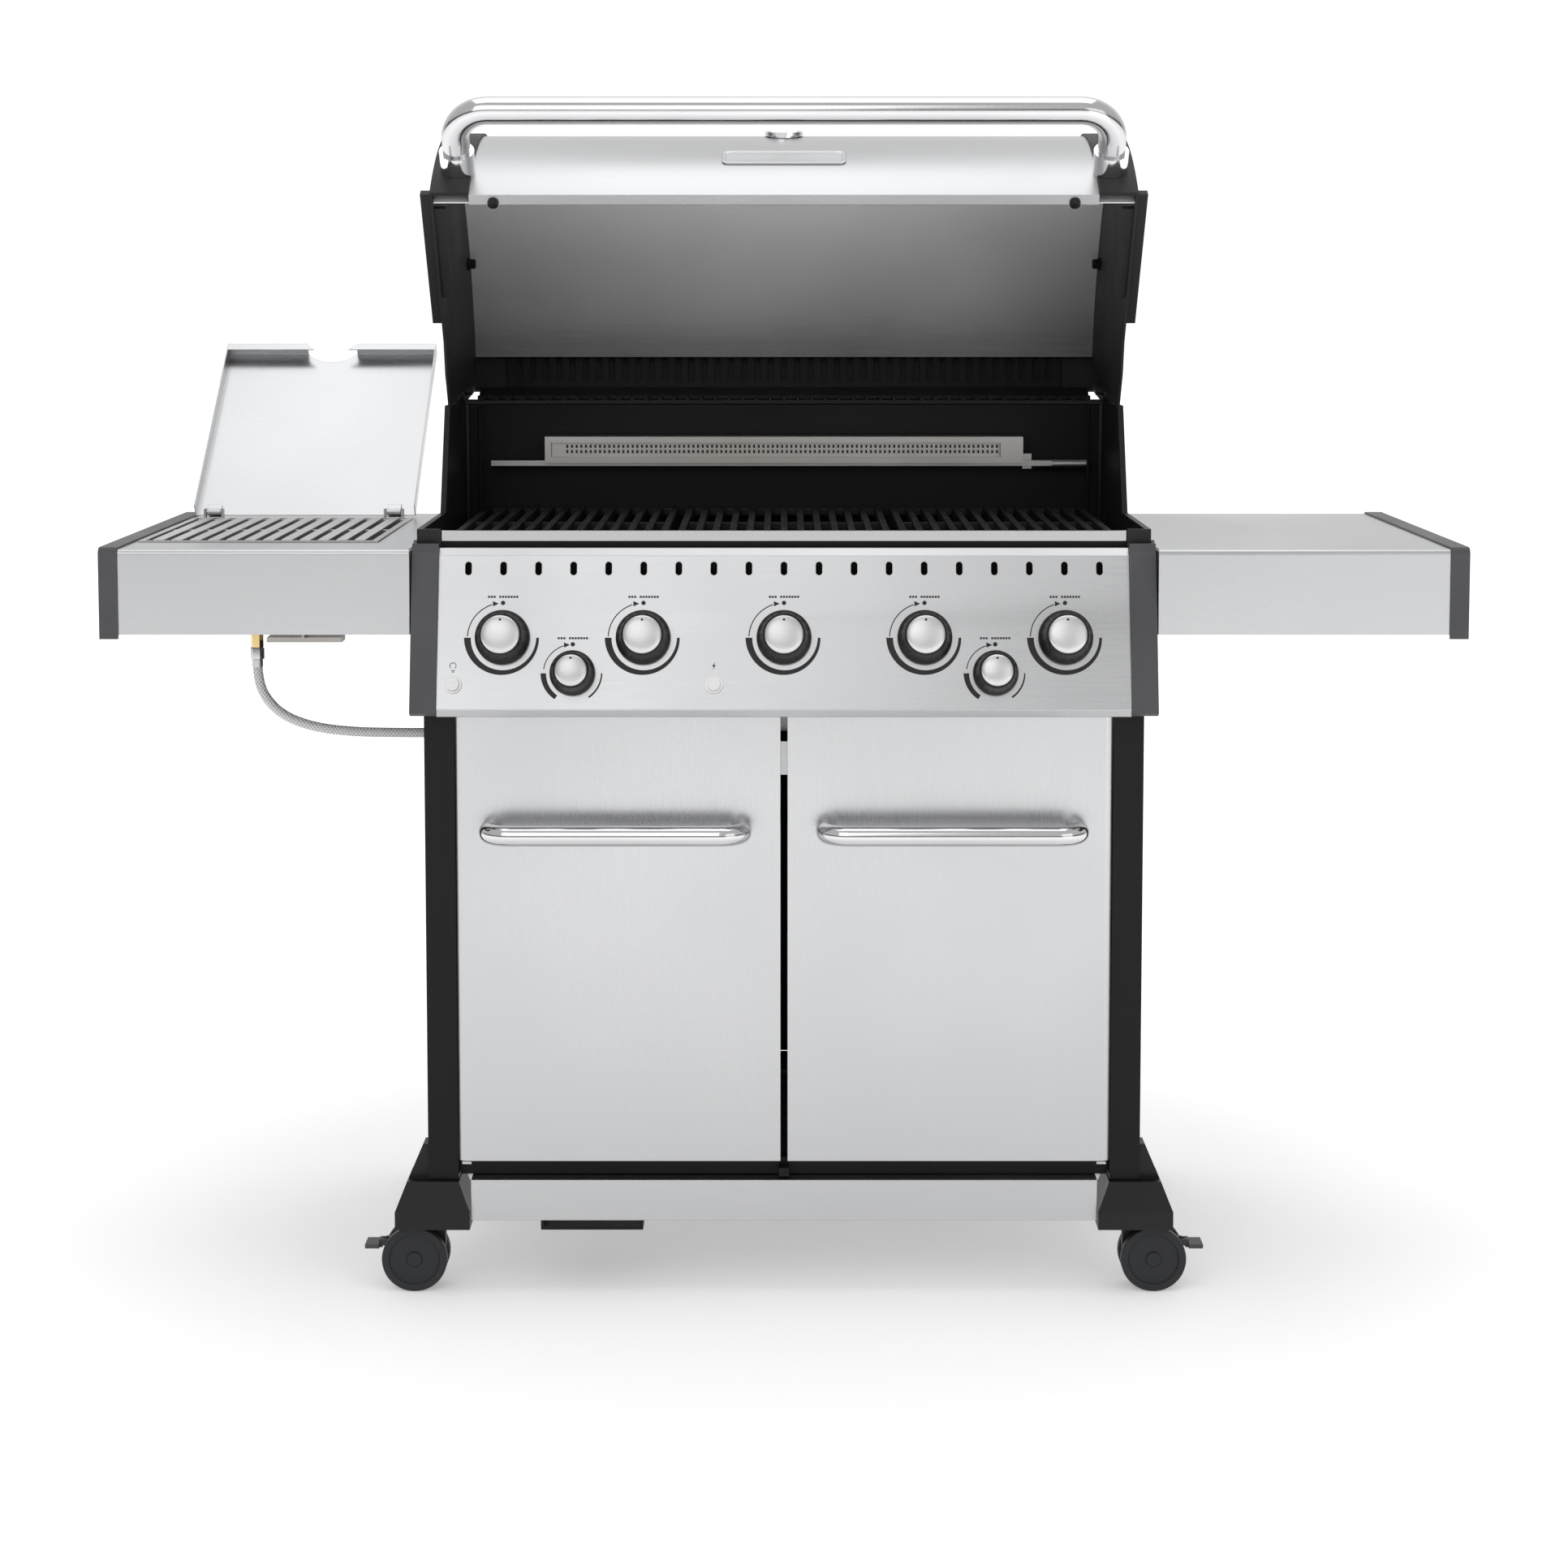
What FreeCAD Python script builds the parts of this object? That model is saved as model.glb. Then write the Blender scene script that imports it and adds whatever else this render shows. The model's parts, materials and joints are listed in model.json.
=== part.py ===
import FreeCAD, Part
import math
import os

import Sketcher

# Gas barbecue grill on a cart: +X to the viewer's right, +Y to the back, +Z up, millimetres.
# Every piece is drawn with Y = 0 at the front edge of the side shelves, and each sub-part is then
# moved back by "depth_centre", so that the origin is on the floor under the middle of the grill.

DIMENSIONS = {
    "depth_centre": 332.7,
    # cart
    "cart_half": 424, "post_size": 36, "post_front": 18, "cart_back": 536, "floor_z": 138,
    "rail_z": 160, "skirt_z": 90, "cart_top_z": 700, "foot_z": 81, "foot_top_z": 137, "fin_top_z": 178,
    "panel_gauge": 1.5,
    # doors
    "door_half": 387.2, "door_gap": 8.4, "door_front": 10, "door_thick": 18, "door_z0": 162,
    "door_z1": 698, "door_handle_x": 197, "door_handle_half": 148, "door_handle_z": 563,
    "catch_z0": 623, "catch_z1": 663, "door_handle_out": 52, "door_handle_dia": 24, "hinge_pin_dia": 6,
    # casters
    "caster_x": 418, "caster_front_y": 40, "caster_rear_y": 500, "wheel_dia": 78, "caster_trail": 24,
    # console
    "cap_half": 436, "panel_low_y": -20, "panel_low_z": 708, "panel_run": 45,
    "panel_rise": 180, "slot_pitch": 41.1, "slot_up": 166, "slot_wide": 7.6, "slot_tall": 16,
    "knob_pitch": 164.4, "knob_up": 84.2, "small_knob_x": 246.6, "small_knob_up": 42.4,
    "knob_dia": 64, "small_knob_dia": 53, "knob_depth": 38, "stem_dia": 8,
    "igniter_x": -81.8, "light_x": -386, "button_up": 29, "button_dia": 15,
    # cookbox
    "box_half": 432, "box_front": 40, "box_back": 545, "box_floor_z": 722, "rim_z": 914, "wing_y": 280,
    "wing_top_y": 340, "wing_z": 1046, "end_gauge": 7, "shell_half": 424.9, "grid_top_z": 905, "grid_front": 50,
    "grid_back": 510, "bar_pitch": 20.6, "bar_wide": 8, "bar_tall": 12, "rack_z": 1050,
    "rack_front": 340, "rack_back": 490, "rack_half": 405, "rack_pitch": 17.9,
    "rear_burner_half": 317, "rear_burner_z0": 963, "rear_burner_z1": 998, "tray_half": 150,
    "tray_z": 676,
    # lid, in the closed position
    "pivot_y": 450, "pivot_z": 1060, "pivot_dia": 10, "lid_open": 53.4, "lid_half": 403, "liner_half": 416.6,
    "skin_half": 374, "cheek_in": 417, "cheek_out": 420, "wing_half": 432, "lid_y0": 42, "lid_z0": 922, "lid_y1": 101,
    "lid_z1": 1132,
    "lid_y2": 250, "lid_z2": 1225, "lid_y4": 500, "lid_z4": 1205, "lid_y5": 530, "lid_z5": 1160,
    "sag_front": 16.6, "sag_brow": 18.5, "sag_top": 16, "liner_gap": 12, "wing_back": 238,
    "wing_top_y0": 44, "wing_top_y1": 140, "wing_top_z": 1063,
    "lid_handle_y": -45, "lid_handle_z": 972, "lid_handle_dia": 33, "lid_handle_half": 390,
    # side shelves
    "shelf_in": 437.5, "shelf_out": 778, "overall_half": 800, "shelf_top_z": 893, "shelf_low_z": 793,
    "shelf_depth": 534, "shelf_gauge": 1.5, "burner_x": -630, "burner_half": 141, "burner_front": 100,
    "burner_back": 438, "grate_top_z": 895.5, "side_lid_half": 145, "side_pivot_y": 447,
    "side_pivot_z": 902, "side_lid_long": 340, "side_lid_deep": 18, "carrier_z": 764,
    "grate_pitch": 22, "grate_bar": 13, "side_lid_lean": 51.9,
    # gas hose
    "hose_dia": 12, "hose_y": 180, "nut_dia": 17, "fitting_dia": 15.5,
}

doc = FreeCAD.newDocument("gas_grill")
sheet = doc.addObject("Spreadsheet::Sheet", "Dims")
for row, (alias, number) in enumerate(DIMENSIONS.items(), start=1):
    sheet.set(f"A{row}", alias)
    sheet.set(f"B{row}", str(number))
    sheet.setAlias(f"B{row}", alias)
doc.recompute()


class Size:
    """A length worked out from the sheet's cells: its expression for FreeCAD, and its value."""

    def __init__(self, text, value):
        self.text, self.value = text, value

    def mix(self, other, sign, turned=False):
        a, b = (size(other), self) if turned else (self, size(other))
        results = {
            "+": a.value + b.value,
            "-": a.value - b.value,
            "*": a.value * b.value,
            "/": a.value / b.value if b.value else 0.0,
        }
        return Size(f"({a.text} {sign} {b.text})", results[sign])

    def __add__(self, other):
        return self.mix(other, "+")

    def __radd__(self, other):
        return self.mix(other, "+", True)

    def __sub__(self, other):
        return self.mix(other, "-")

    def __rsub__(self, other):
        return self.mix(other, "-", True)

    def __mul__(self, other):
        return self.mix(other, "*")

    __rmul__ = __mul__

    def __truediv__(self, other):
        return self.mix(other, "/")

    def __neg__(self):
        return self * -1


def size(number):
    return number if isinstance(number, Size) else Size(f"({number})", float(number))


class Cells:
    """D.alias is the Size of the cell with that alias."""

    def __getattr__(self, alias):
        return Size(f"Dims.{alias}", float(sheet.get(alias)))


D = Cells()
V = FreeCAD.Vector
SIDES = (-1, 1)
AXES = {"X": V(1, 0, 0), "Y": V(0, 1, 0), "Z": V(0, 0, 1)}
YZ_PLANE = FreeCAD.Rotation(V(1, 1, 1), 120)     # a drawing's x, y and normal become Y, Z and X
XZ_PLANE = FreeCAD.Rotation(V(1, 0, 0), 90)      # x, y and normal become X, Z and -Y
PARTS = []


def root(number):
    return Size(f"sqrt({number.text})", math.sqrt(number.value))


def bind(thing, prop, number):
    thing.setExpression(prop, size(number).text)


def place(thing, x=0, y=0, z=0, rotation=None):
    """Bind a piece's position to the sheet, and turn it first where rotation is given."""
    x, y, z = size(x), size(y), size(z)
    thing.Placement = FreeCAD.Placement(V(x.value, y.value, z.value), rotation or FreeCAD.Rotation())
    for axis, number in zip("xyz", (x, y, z)):
        bind(thing, f"Placement.Base.{axis}", number)
    return thing


def box(x0, x1, y0, y1, z0, z1):
    block = doc.addObject("Part::Box", "Block")
    for prop, low, high in (("Length", x0, x1), ("Width", y0, y1), ("Height", z0, z1)):
        bind(block, prop, size(high) - low)
    return place(block, x0, y0, z0)


def mirrored_box(side, x0, x1, y0, y1, z0, z1):
    """A box between two distances from the middle plane, on the side given as -1 or 1."""
    return box(x0, x1, y0, y1, z0, z1) if side > 0 else box(-size(x1), -size(x0), y0, y1, z0, z1)


def box_toward(side, x, near, far, y0, y1, z0, z1):
    """A box between two distances outward from x, on the side given."""
    if side > 0:
        return box(x + near, x + far, y0, y1, z0, z1)
    return box(x - far, x - near, y0, y1, z0, z1)


def rod(axis, x, y, z, diameter, long):
    """A cylinder along +X, +Y or +Z from the point given."""
    bar = doc.addObject("Part::Cylinder", "Rod")
    bind(bar, "Radius", size(diameter) / 2)
    bind(bar, "Height", long)
    return place(bar, x, y, z, FreeCAD.Rotation(AXES["Z"], AXES[axis]))


def cut(base, *tools):
    tool = tools[0] if len(tools) == 1 else group(*tools)
    result = doc.addObject("Part::Cut", "Cut")
    result.Base, result.Tool = base, tool
    return result


def fuse(*pieces):
    if len(pieces) == 1:
        return pieces[0]
    result = doc.addObject("Part::MultiFuse", "Joined")
    result.Shapes = list(pieces)
    return result


def group(*pieces):
    result = doc.addObject("Part::Compound", "Group")
    result.Links = list(pieces)
    return result


def keep(label, *pieces):
    """Make one sub-part of the pieces, which stay separate solids, and move it into the row's frame."""
    node = group(*pieces)
    node.Label = label
    bind(node, "Placement.Base.y", -D.depth_centre)
    PARTS.append(node)
    return node


def outline(points, rotation, closed=True, sags=None):
    """A sketch through points bound to the sheet. sags gives the rise of an arc by segment number."""
    sags = sags or {}
    sketch = doc.addObject("Sketcher::SketchObject", "Outline")
    points = [(size(a), size(b)) for a, b in points]
    ends = points[1:] + points[:1] if closed else points[1:]
    for number, (start, end) in enumerate(zip(points, ends)):
        a, b = V(start[0].value, start[1].value, 0), V(end[0].value, end[1].value, 0)
        if number in sags:
            left = V(a.y - b.y, b.x - a.x, 0).normalize()
            arc_ends = (b, a) if sags[number].value > 0 else (a, b)
            middle = (a + b) / 2 + left * sags[number].value
            sketch.addGeometry(Part.Arc(arc_ends[0], middle, arc_ends[1]), False)
        else:
            sketch.addGeometry(Part.LineSegment(a, b), False)
    for number in range(len(ends)):
        start_end = ends_of(sketch, number, points[number])
        if number + 1 < len(ends) or closed:
            following = (number + 1) % len(ends)
            next_end = ends_of(sketch, following, points[following])
            sketch.addConstraint(Sketcher.Constraint("Coincident", number, 3 - start_end, following,
                                                     next_end))
        bind_point(sketch, number, start_end, points[number])
        if number + 1 == len(ends) and not closed:
            bind_point(sketch, number, 3 - start_end, points[-1])
    for number, sag in sags.items():
        (ax, ay), (bx, by) = points[number], ends[number]
        chord = (bx - ax) * (bx - ax) + (by - ay) * (by - ay)
        index = sketch.addConstraint(Sketcher.Constraint("Radius", number, sketch.Geometry[number].Radius))
        sketch.setExpression(f"Constraints[{index}]", (chord / (sag * 8) + sag / 2).text)
    sketch.Placement = FreeCAD.Placement(V(), rotation)
    return sketch


def ends_of(sketch, number, point):
    """Which end of a segment, 1 or 2, starts at the point: an arc may be stored the other way round."""
    curve = sketch.Geometry[number]
    return 1 if curve.StartPoint.distanceToPoint(V(point[0].value, point[1].value, 0)) < 1e-4 else 2


def bind_point(sketch, number, end, point):
    for kind, value in zip(("DistanceX", "DistanceY"), point):
        index = sketch.addConstraint(Sketcher.Constraint(kind, -1, 1, number, end, value.value))
        sketch.setExpression(f"Constraints[{index}]", value.text)


def along_x(profile, x0, x1):
    """Draw a YZ outline out along X between two places."""
    solid = doc.addObject("Part::Extrusion", "Drawn")
    solid.Base, solid.DirMode, solid.Dir, solid.Solid = profile, "Custom", V(1, 0, 0), True
    bind(solid, "LengthFwd", size(x1) - x0)
    return place(solid, x0)


def plate(points, x0, x1, sags=None):
    return along_x(outline(points, YZ_PLANE, sags=sags), x0, x1)


def mirrored_plate(side, points, x0, x1, sags=None):
    low, high = (x0, x1) if side > 0 else (-size(x1), -size(x0))
    return plate(points, low, high, sags)


def folded(points, gauge, x0, x1, sags=None, corners="Arc"):
    """Sheet metal folded along a YZ outline, its thickness on the right of the way the points run."""
    skin = doc.addObject("Part::Offset2D", "Skin")
    skin.Source = outline(points, YZ_PLANE, False, sags)
    skin.Fill, skin.Mode, skin.Join = True, "Skin", corners
    bind(skin, "Value", gauge)
    return along_x(skin, x0, x1)


def spun(label_points, axis_turn, x, y, z):
    """A solid of revolution: points are (radius, distance along the axis), bound to the sheet."""
    sketch = outline(label_points, XZ_PLANE)
    solid = doc.addObject("Part::Revolution", "Spun")
    solid.Source, solid.Axis, solid.Angle, solid.Solid = sketch, V(0, 0, 1), 360, True
    return place(solid, x, y, z, axis_turn)


# The gas hose hangs from the side burner's inlet and goes into the cabinet's left side: (X, Z) points.
HOSE_ROUTE = [(-647, 741), (-647, 716), (-636, 690), (-613, 669.5), (-577.6, 657), (-533.9, 651.6),
              (-483.9, 650.3), (-436, 650.3)]

# --- where things sit on the sloping control panel ---
panel_long = root(D.panel_run * D.panel_run + D.panel_rise * D.panel_rise)
lean_sin = D.panel_run / panel_long
lean_cos = D.panel_rise / panel_long
PANEL_TURN = FreeCAD.Rotation(AXES["Z"], V(0, -D.panel_rise.value, D.panel_run.value))


def panel_point(up, out=0):
    """Y and Z of a point on the panel's slope, out along its normal."""
    y = D.panel_low_y + lean_sin * up - lean_cos * out
    z = D.panel_low_z + lean_cos * up + lean_sin * out
    return y, z


def panel_rod(x, up, out, diameter, long):
    """A cylinder along the panel's normal, from the distance out, away from the panel."""
    y, z = panel_point(up, out)
    bar = doc.addObject("Part::Cylinder", "Rod")
    bind(bar, "Radius", size(diameter) / 2)
    bind(bar, "Height", long)
    return place(bar, x, y, z, PANEL_TURN)


# --- cart ---
def make_cart():
    post_in = D.cart_half - D.post_size
    posts = []
    for side in SIDES:
        for y0 in (D.post_front, D.cart_back - D.post_size):
            tube = mirrored_box(side, post_in, D.cart_half, y0, y0 + D.post_size, D.foot_top_z, D.cart_top_z)
            bore = mirrored_box(
                side, post_in + 3, D.cart_half - 3, y0 + 3, y0 + D.post_size - 3, D.foot_top_z - 5,
                D.cart_top_z + 5
            )
            posts.append(cut(tube, bore))
    keep("cart_posts", *posts)

    rails = []
    rail_in = post_in - 1
    back_in = D.cart_back - D.post_size
    wall = 3
    for z0, z1 in ((D.floor_z + 2, D.rail_z), (D.cart_top_z, D.cart_top_z + 20)):
        for y0 in (D.post_front + 14, back_in + 6):
            bar = box(-rail_in, rail_in, y0, y0 + 22, z0, z1)
            bore = box(-rail_in - 5, rail_in + 5, y0 + wall, y0 + 22 - wall, z0 + wall, z1 - wall)
            rails.append(cut(bar, bore))
        for side in SIDES:
            y0, y1 = D.post_front + 37, back_in - 1
            bar = mirrored_box(side, post_in + 6, D.cart_half - 8, y0, y1, z0, z1)
            bore = mirrored_box(side, post_in + 6 + wall, D.cart_half - 8 - wall, y0 - 5, y1 + 5,
                                z0 + wall, z1 - wall)
            rails.append(cut(bar, bore))
    door_stop = box(-6, 6, D.door_front + 4, D.post_front + 14, D.floor_z + 4, D.floor_z + 14)
    runner_z = D.tray_z - 12
    runners = []
    for side in SIDES:
        strip = mirrored_box(side, D.tray_half - 10, D.tray_half + 8, 36, 524, runner_z, runner_z + 3.5)
        hangers = [
            mirrored_box(side, D.tray_half + 4, D.tray_half + 8, y0, y0 + 14, runner_z, D.cart_top_z)
            for y0 in (36, 510)
        ]
        runners.append(fuse(strip, *hangers))
    keep("cart_rails", *rails, door_stop, *runners)

    sides = [
        mirrored_box(side, D.cart_half - 7, D.cart_half - 5.5, D.post_front + 37, back_in - 1, D.rail_z,
                     D.cart_top_z)
        for side in SIDES
    ]
    back = box(-post_in + 1, post_in - 1, D.cart_back - 5, D.cart_back - 3.5, D.rail_z, 640)
    hose_hole = rod("X", -D.cart_half, D.hose_y, HOSE_ROUTE[-1][1], 14, 20)
    keep("cabinet_panels", cut(sides[0], hose_hole), sides[1], back)

    base = folded(
        [(D.door_front + 1, D.skirt_z), (D.door_front + 1, D.floor_z - 0.5),
         (D.cart_back - 6, D.floor_z - 0.5),
         (D.cart_back - 6, D.skirt_z)],
        -D.panel_gauge, -372.5, 372.5,
    )
    keep("base_shelf", base)
    keep("tank_bracket", cut(box(-290, -168, 14, 150, 77, 91.5), box(-286, -172, 10, 146, 81, 95)))

    feet = []
    for side in SIDES:
        for y in (D.caster_front_y, D.caster_rear_y):
            foot = doc.addObject("Part::Wedge", "Foot")
            low, high = 44.5, 31
            limits = {"Xmin": -low, "Xmax": low, "Zmin": -40, "Zmax": 40, "Ymin": 0, "Ymax": 34,
                      "X2min": -high, "X2max": high, "Z2min": -30, "Z2max": 30}
            for prop, number in limits.items():
                bind(foot, prop, number)
            place(foot, D.caster_x * side, y, D.foot_z + 21.5, FreeCAD.Rotation(V(1, 0, 0), 90))
            slab = box(D.caster_x * side - 44.5, D.caster_x * side + 44.5, y - 40, y + 40, D.foot_z,
                       D.foot_z + 21.5)
            stem_hole = rod("Z", D.caster_x * side, y, D.foot_z - 5, 11.1, 40)
            edge = [(D.cart_half + 0.5, D.foot_top_z - 7), (D.cart_half + 0.5, D.fin_top_z),
                    (431, D.fin_top_z),
                    (449, D.foot_top_z - 1), (449, D.foot_top_z - 7)]
            fin = doc.addObject("Part::Extrusion", "Drawn")
            fin.Base = outline(edge if side > 0 else [(-x, z) for x, z in reversed(edge)], XZ_PLANE)
            fin.DirMode, fin.Dir, fin.Solid = "Custom", V(0, 1, 0), True
            bind(fin, "LengthFwd", 28)
            place(fin, 0, y - 14, 0)
            feet.append(cut(fuse(foot, slab, fin), stem_hole))
    keep("leg_feet", *feet)


# --- casters: twin wheels on a swivelling fork, and brake levers on the front pair ---
CASTERS = {"front_left": (-1, "caster_front_y"), "front_right": (1, "caster_front_y"),
           "rear_left": (-1, "caster_rear_y"), "rear_right": (1, "caster_rear_y")}


def make_casters():
    radius = D.wheel_dia / 2
    for corner, (side, row) in CASTERS.items():
        y = getattr(D, row)
        pivot_x = D.caster_x * side
        axle_x = pivot_x + D.caster_trail * side
        stem = rod("Z", pivot_x, y, D.foot_z - 4, 11, 35)
        head = rod("Z", pivot_x, y, D.foot_z - 2.5, 30, 2)
        neck = box(pivot_x - 12, pivot_x + 12, y - 6.5, y + 6.5, radius, D.foot_z - 2.4)
        web = rod("Y", axle_x, y - 6.5, radius, 52, 13)
        pieces = [stem, head, neck, web]
        if "front" in corner:
            pieces.append(box_toward(side, axle_x, 14, 36, y - 2.5, y + 2.5, radius + 10, radius + 22))
        lever_hole = rod("Y", axle_x + 30 * side, y - 10, radius + 16, 4.1, 20)
        axle_hole = rod("Y", axle_x, y - 10, radius, 8.1, 20)
        holes = [axle_hole] + ([lever_hole] if "front" in corner else [])
        keep(f"caster_fork_{corner}", cut(fuse(*pieces), *holes))

        half_profile = [(4, 7.6), (30, 7.6), (33, 9), (38, 9), (radius, 10.5), (radius, 21), (38, 22.5),
                        (31, 22.5), (29, 20), (10, 20), (8, 22.5), (0, 22.5)]
        both_wheels = half_profile + [(r, -p) for r, p in reversed(half_profile)]
        keep(f"caster_wheel_{corner}",
             spun(both_wheels, FreeCAD.Rotation(AXES["Z"], AXES["Y"]), axle_x, y, radius))

        if "front" in corner:
            pin = rod("Y", axle_x + 30 * side, y - 5.5, radius + 16, 4, 11)
            ears = [box_toward(side, axle_x, 26, 40, low, low + 3, radius + 12,
                               radius + 20) for low in (y - 5.9, y + 2.9)]
            bridge = box_toward(side, axle_x, 40, 44, y - 5.9, y + 5.9, radius + 10, radius + 20)
            paddle = box_toward(side, axle_x, 43, 60, y - 14, y + 14, radius + 11, radius + 16)
            keep(f"brake_lever_{corner.split('_')[1]}", fuse(pin, *ears, bridge, paddle))


# --- doors: pans with a rounded hinge edge, which turns about a pin inside it ---
def make_doors():
    middle = D.door_front + D.door_thick / 2
    hinge_x = D.door_half - D.door_thick / 2
    for name, side in (("left", -1), ("right", 1)):
        pan = mirrored_box(side, D.door_gap / 2, hinge_x, D.door_front, D.door_front + D.door_thick,
                           D.door_z0, D.door_z1)
        hollow = mirrored_box(
            side, D.door_gap / 2 + 1.5, hinge_x - 14, D.door_front + 1.5, D.door_front + 16.5,
            D.door_z0 + 1.5, D.door_z1 - 1.5
        )
        edge = rod("Z", hinge_x * side, middle, D.door_z0, D.door_thick, D.door_z1 - D.door_z0)
        bores = [
            rod("Z", hinge_x * side, middle, z, D.hinge_pin_dia + 0.1, 16) for z in (D.door_z0 - 1,
                                                                                     D.door_z1 - 15)
        ]
        keep(f"door_{name}", cut(fuse(pan, edge), hollow, *bores))

        bar_y = D.door_front - D.door_handle_out
        legs = [D.door_handle_x * side - D.door_handle_half, D.door_handle_x * side + D.door_handle_half]
        solid, bore = [bow(legs, bar_y, D.door_handle_z, D.door_front, D.door_handle_dia - wall,
                           26) for wall in (0, 4)]
        keep(f"door_handle_{name}", cut(solid, bore))

    pins = []
    for side in SIDES:
        low = rod("Z", hinge_x * side, middle, D.rail_z - 2, D.hinge_pin_dia, 15)
        high = rod("Z", hinge_x * side, middle, D.door_z1 - 12, D.hinge_pin_dia, 18)
        low_arm = mirrored_box(side, hinge_x - 6, hinge_x + 5, middle - 5, D.post_front + 14, D.rail_z - 3,
                               D.rail_z)
        high_arm = mirrored_box(side, hinge_x - 6, hinge_x + 5, middle - 5, D.post_front + 14,
                                D.door_z1 + 3, D.door_z1 + 6)
        pins += [fuse(low, low_arm), fuse(high, high_arm)]
    keep("door_hinge_pins", *pins)
    catch_y = D.door_front + 20
    striker = box(-18, 18, catch_y, catch_y + 1.5, D.catch_z0, D.catch_z1)
    hanger = box(8, 18, catch_y, catch_y + 1.5, D.catch_z1 - 5, D.cart_top_z + 4)
    keep("door_catch", fuse(striker, hanger))


def bow(legs, bar_y, z, end_y, diameter, bend):
    """A round bar with a leg bent back to Y = end_y at each end."""
    left, right = (size(x) for x in legs)
    y, radius = size(bar_y), size(bend)
    path = doc.addObject("Sketcher::SketchObject", "Path")
    corners = [(left, size(end_y)), (left, y + radius), (left + radius, y), (right - radius, y),
               (right, y + radius),
               (right, size(end_y))]
    spots = [V(a.value, b.value, 0) for a, b in corners]
    inset = radius.value * (1 - math.sqrt(0.5))
    mids = [V(left.value + inset, y.value + inset, 0), V(right.value - inset, y.value + inset, 0)]
    curves = [Part.LineSegment(spots[0], spots[1]), Part.Arc(spots[1], mids[0], spots[2]),
              Part.LineSegment(spots[2], spots[3]), Part.Arc(spots[3], mids[1], spots[4]),
              Part.LineSegment(spots[4], spots[5])]
    for curve in curves:
        path.addGeometry(curve, False)
    for number, corner in enumerate(corners[:-1]):
        end = ends_of(path, number, corner)
        bind_point(path, number, end, corner)
        if number:
            previous = 3 - ends_of(path, number - 1, corners[number - 1])
            path.addConstraint(Sketcher.Constraint("Coincident", number - 1, previous, number, end))
    bind_point(path, 4, 3 - ends_of(path, 4, corners[4]), corners[5])
    for number in (1, 3):
        index = path.addConstraint(Sketcher.Constraint("Radius", number, radius.value))
        path.setExpression(f"Constraints[{index}]", radius.text)
    place(path, 0, 0, z)
    ring = doc.addObject("Sketcher::SketchObject", "Section")
    ring.addGeometry(Part.Circle(V(), V(0, 0, 1), size(diameter).value / 2), False)
    ring.addConstraint(Sketcher.Constraint("Coincident", 0, 3, -1, 1))
    index = ring.addConstraint(Sketcher.Constraint("Radius", 0, size(diameter).value / 2))
    ring.setExpression(f"Constraints[{index}]", (size(diameter) / 2).text)
    place(ring, left, end_y, z, XZ_PLANE)
    tube = doc.addObject("Part::Sweep", "Tube")
    tube.Sections, tube.Spine, tube.Solid, tube.Frenet = [ring], (path, []), True, True
    return tube


# --- console: sloping panel with slots, side caps, knobs, push buttons, valves ---
KNOBS = {"knob_burner_1": -2, "knob_burner_2": -1, "knob_burner_3": 0, "knob_burner_4": 1, "knob_burner_5": 2}
SMALL_KNOBS = {"knob_side_burner": -1, "knob_rear_burner": 1}


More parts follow.
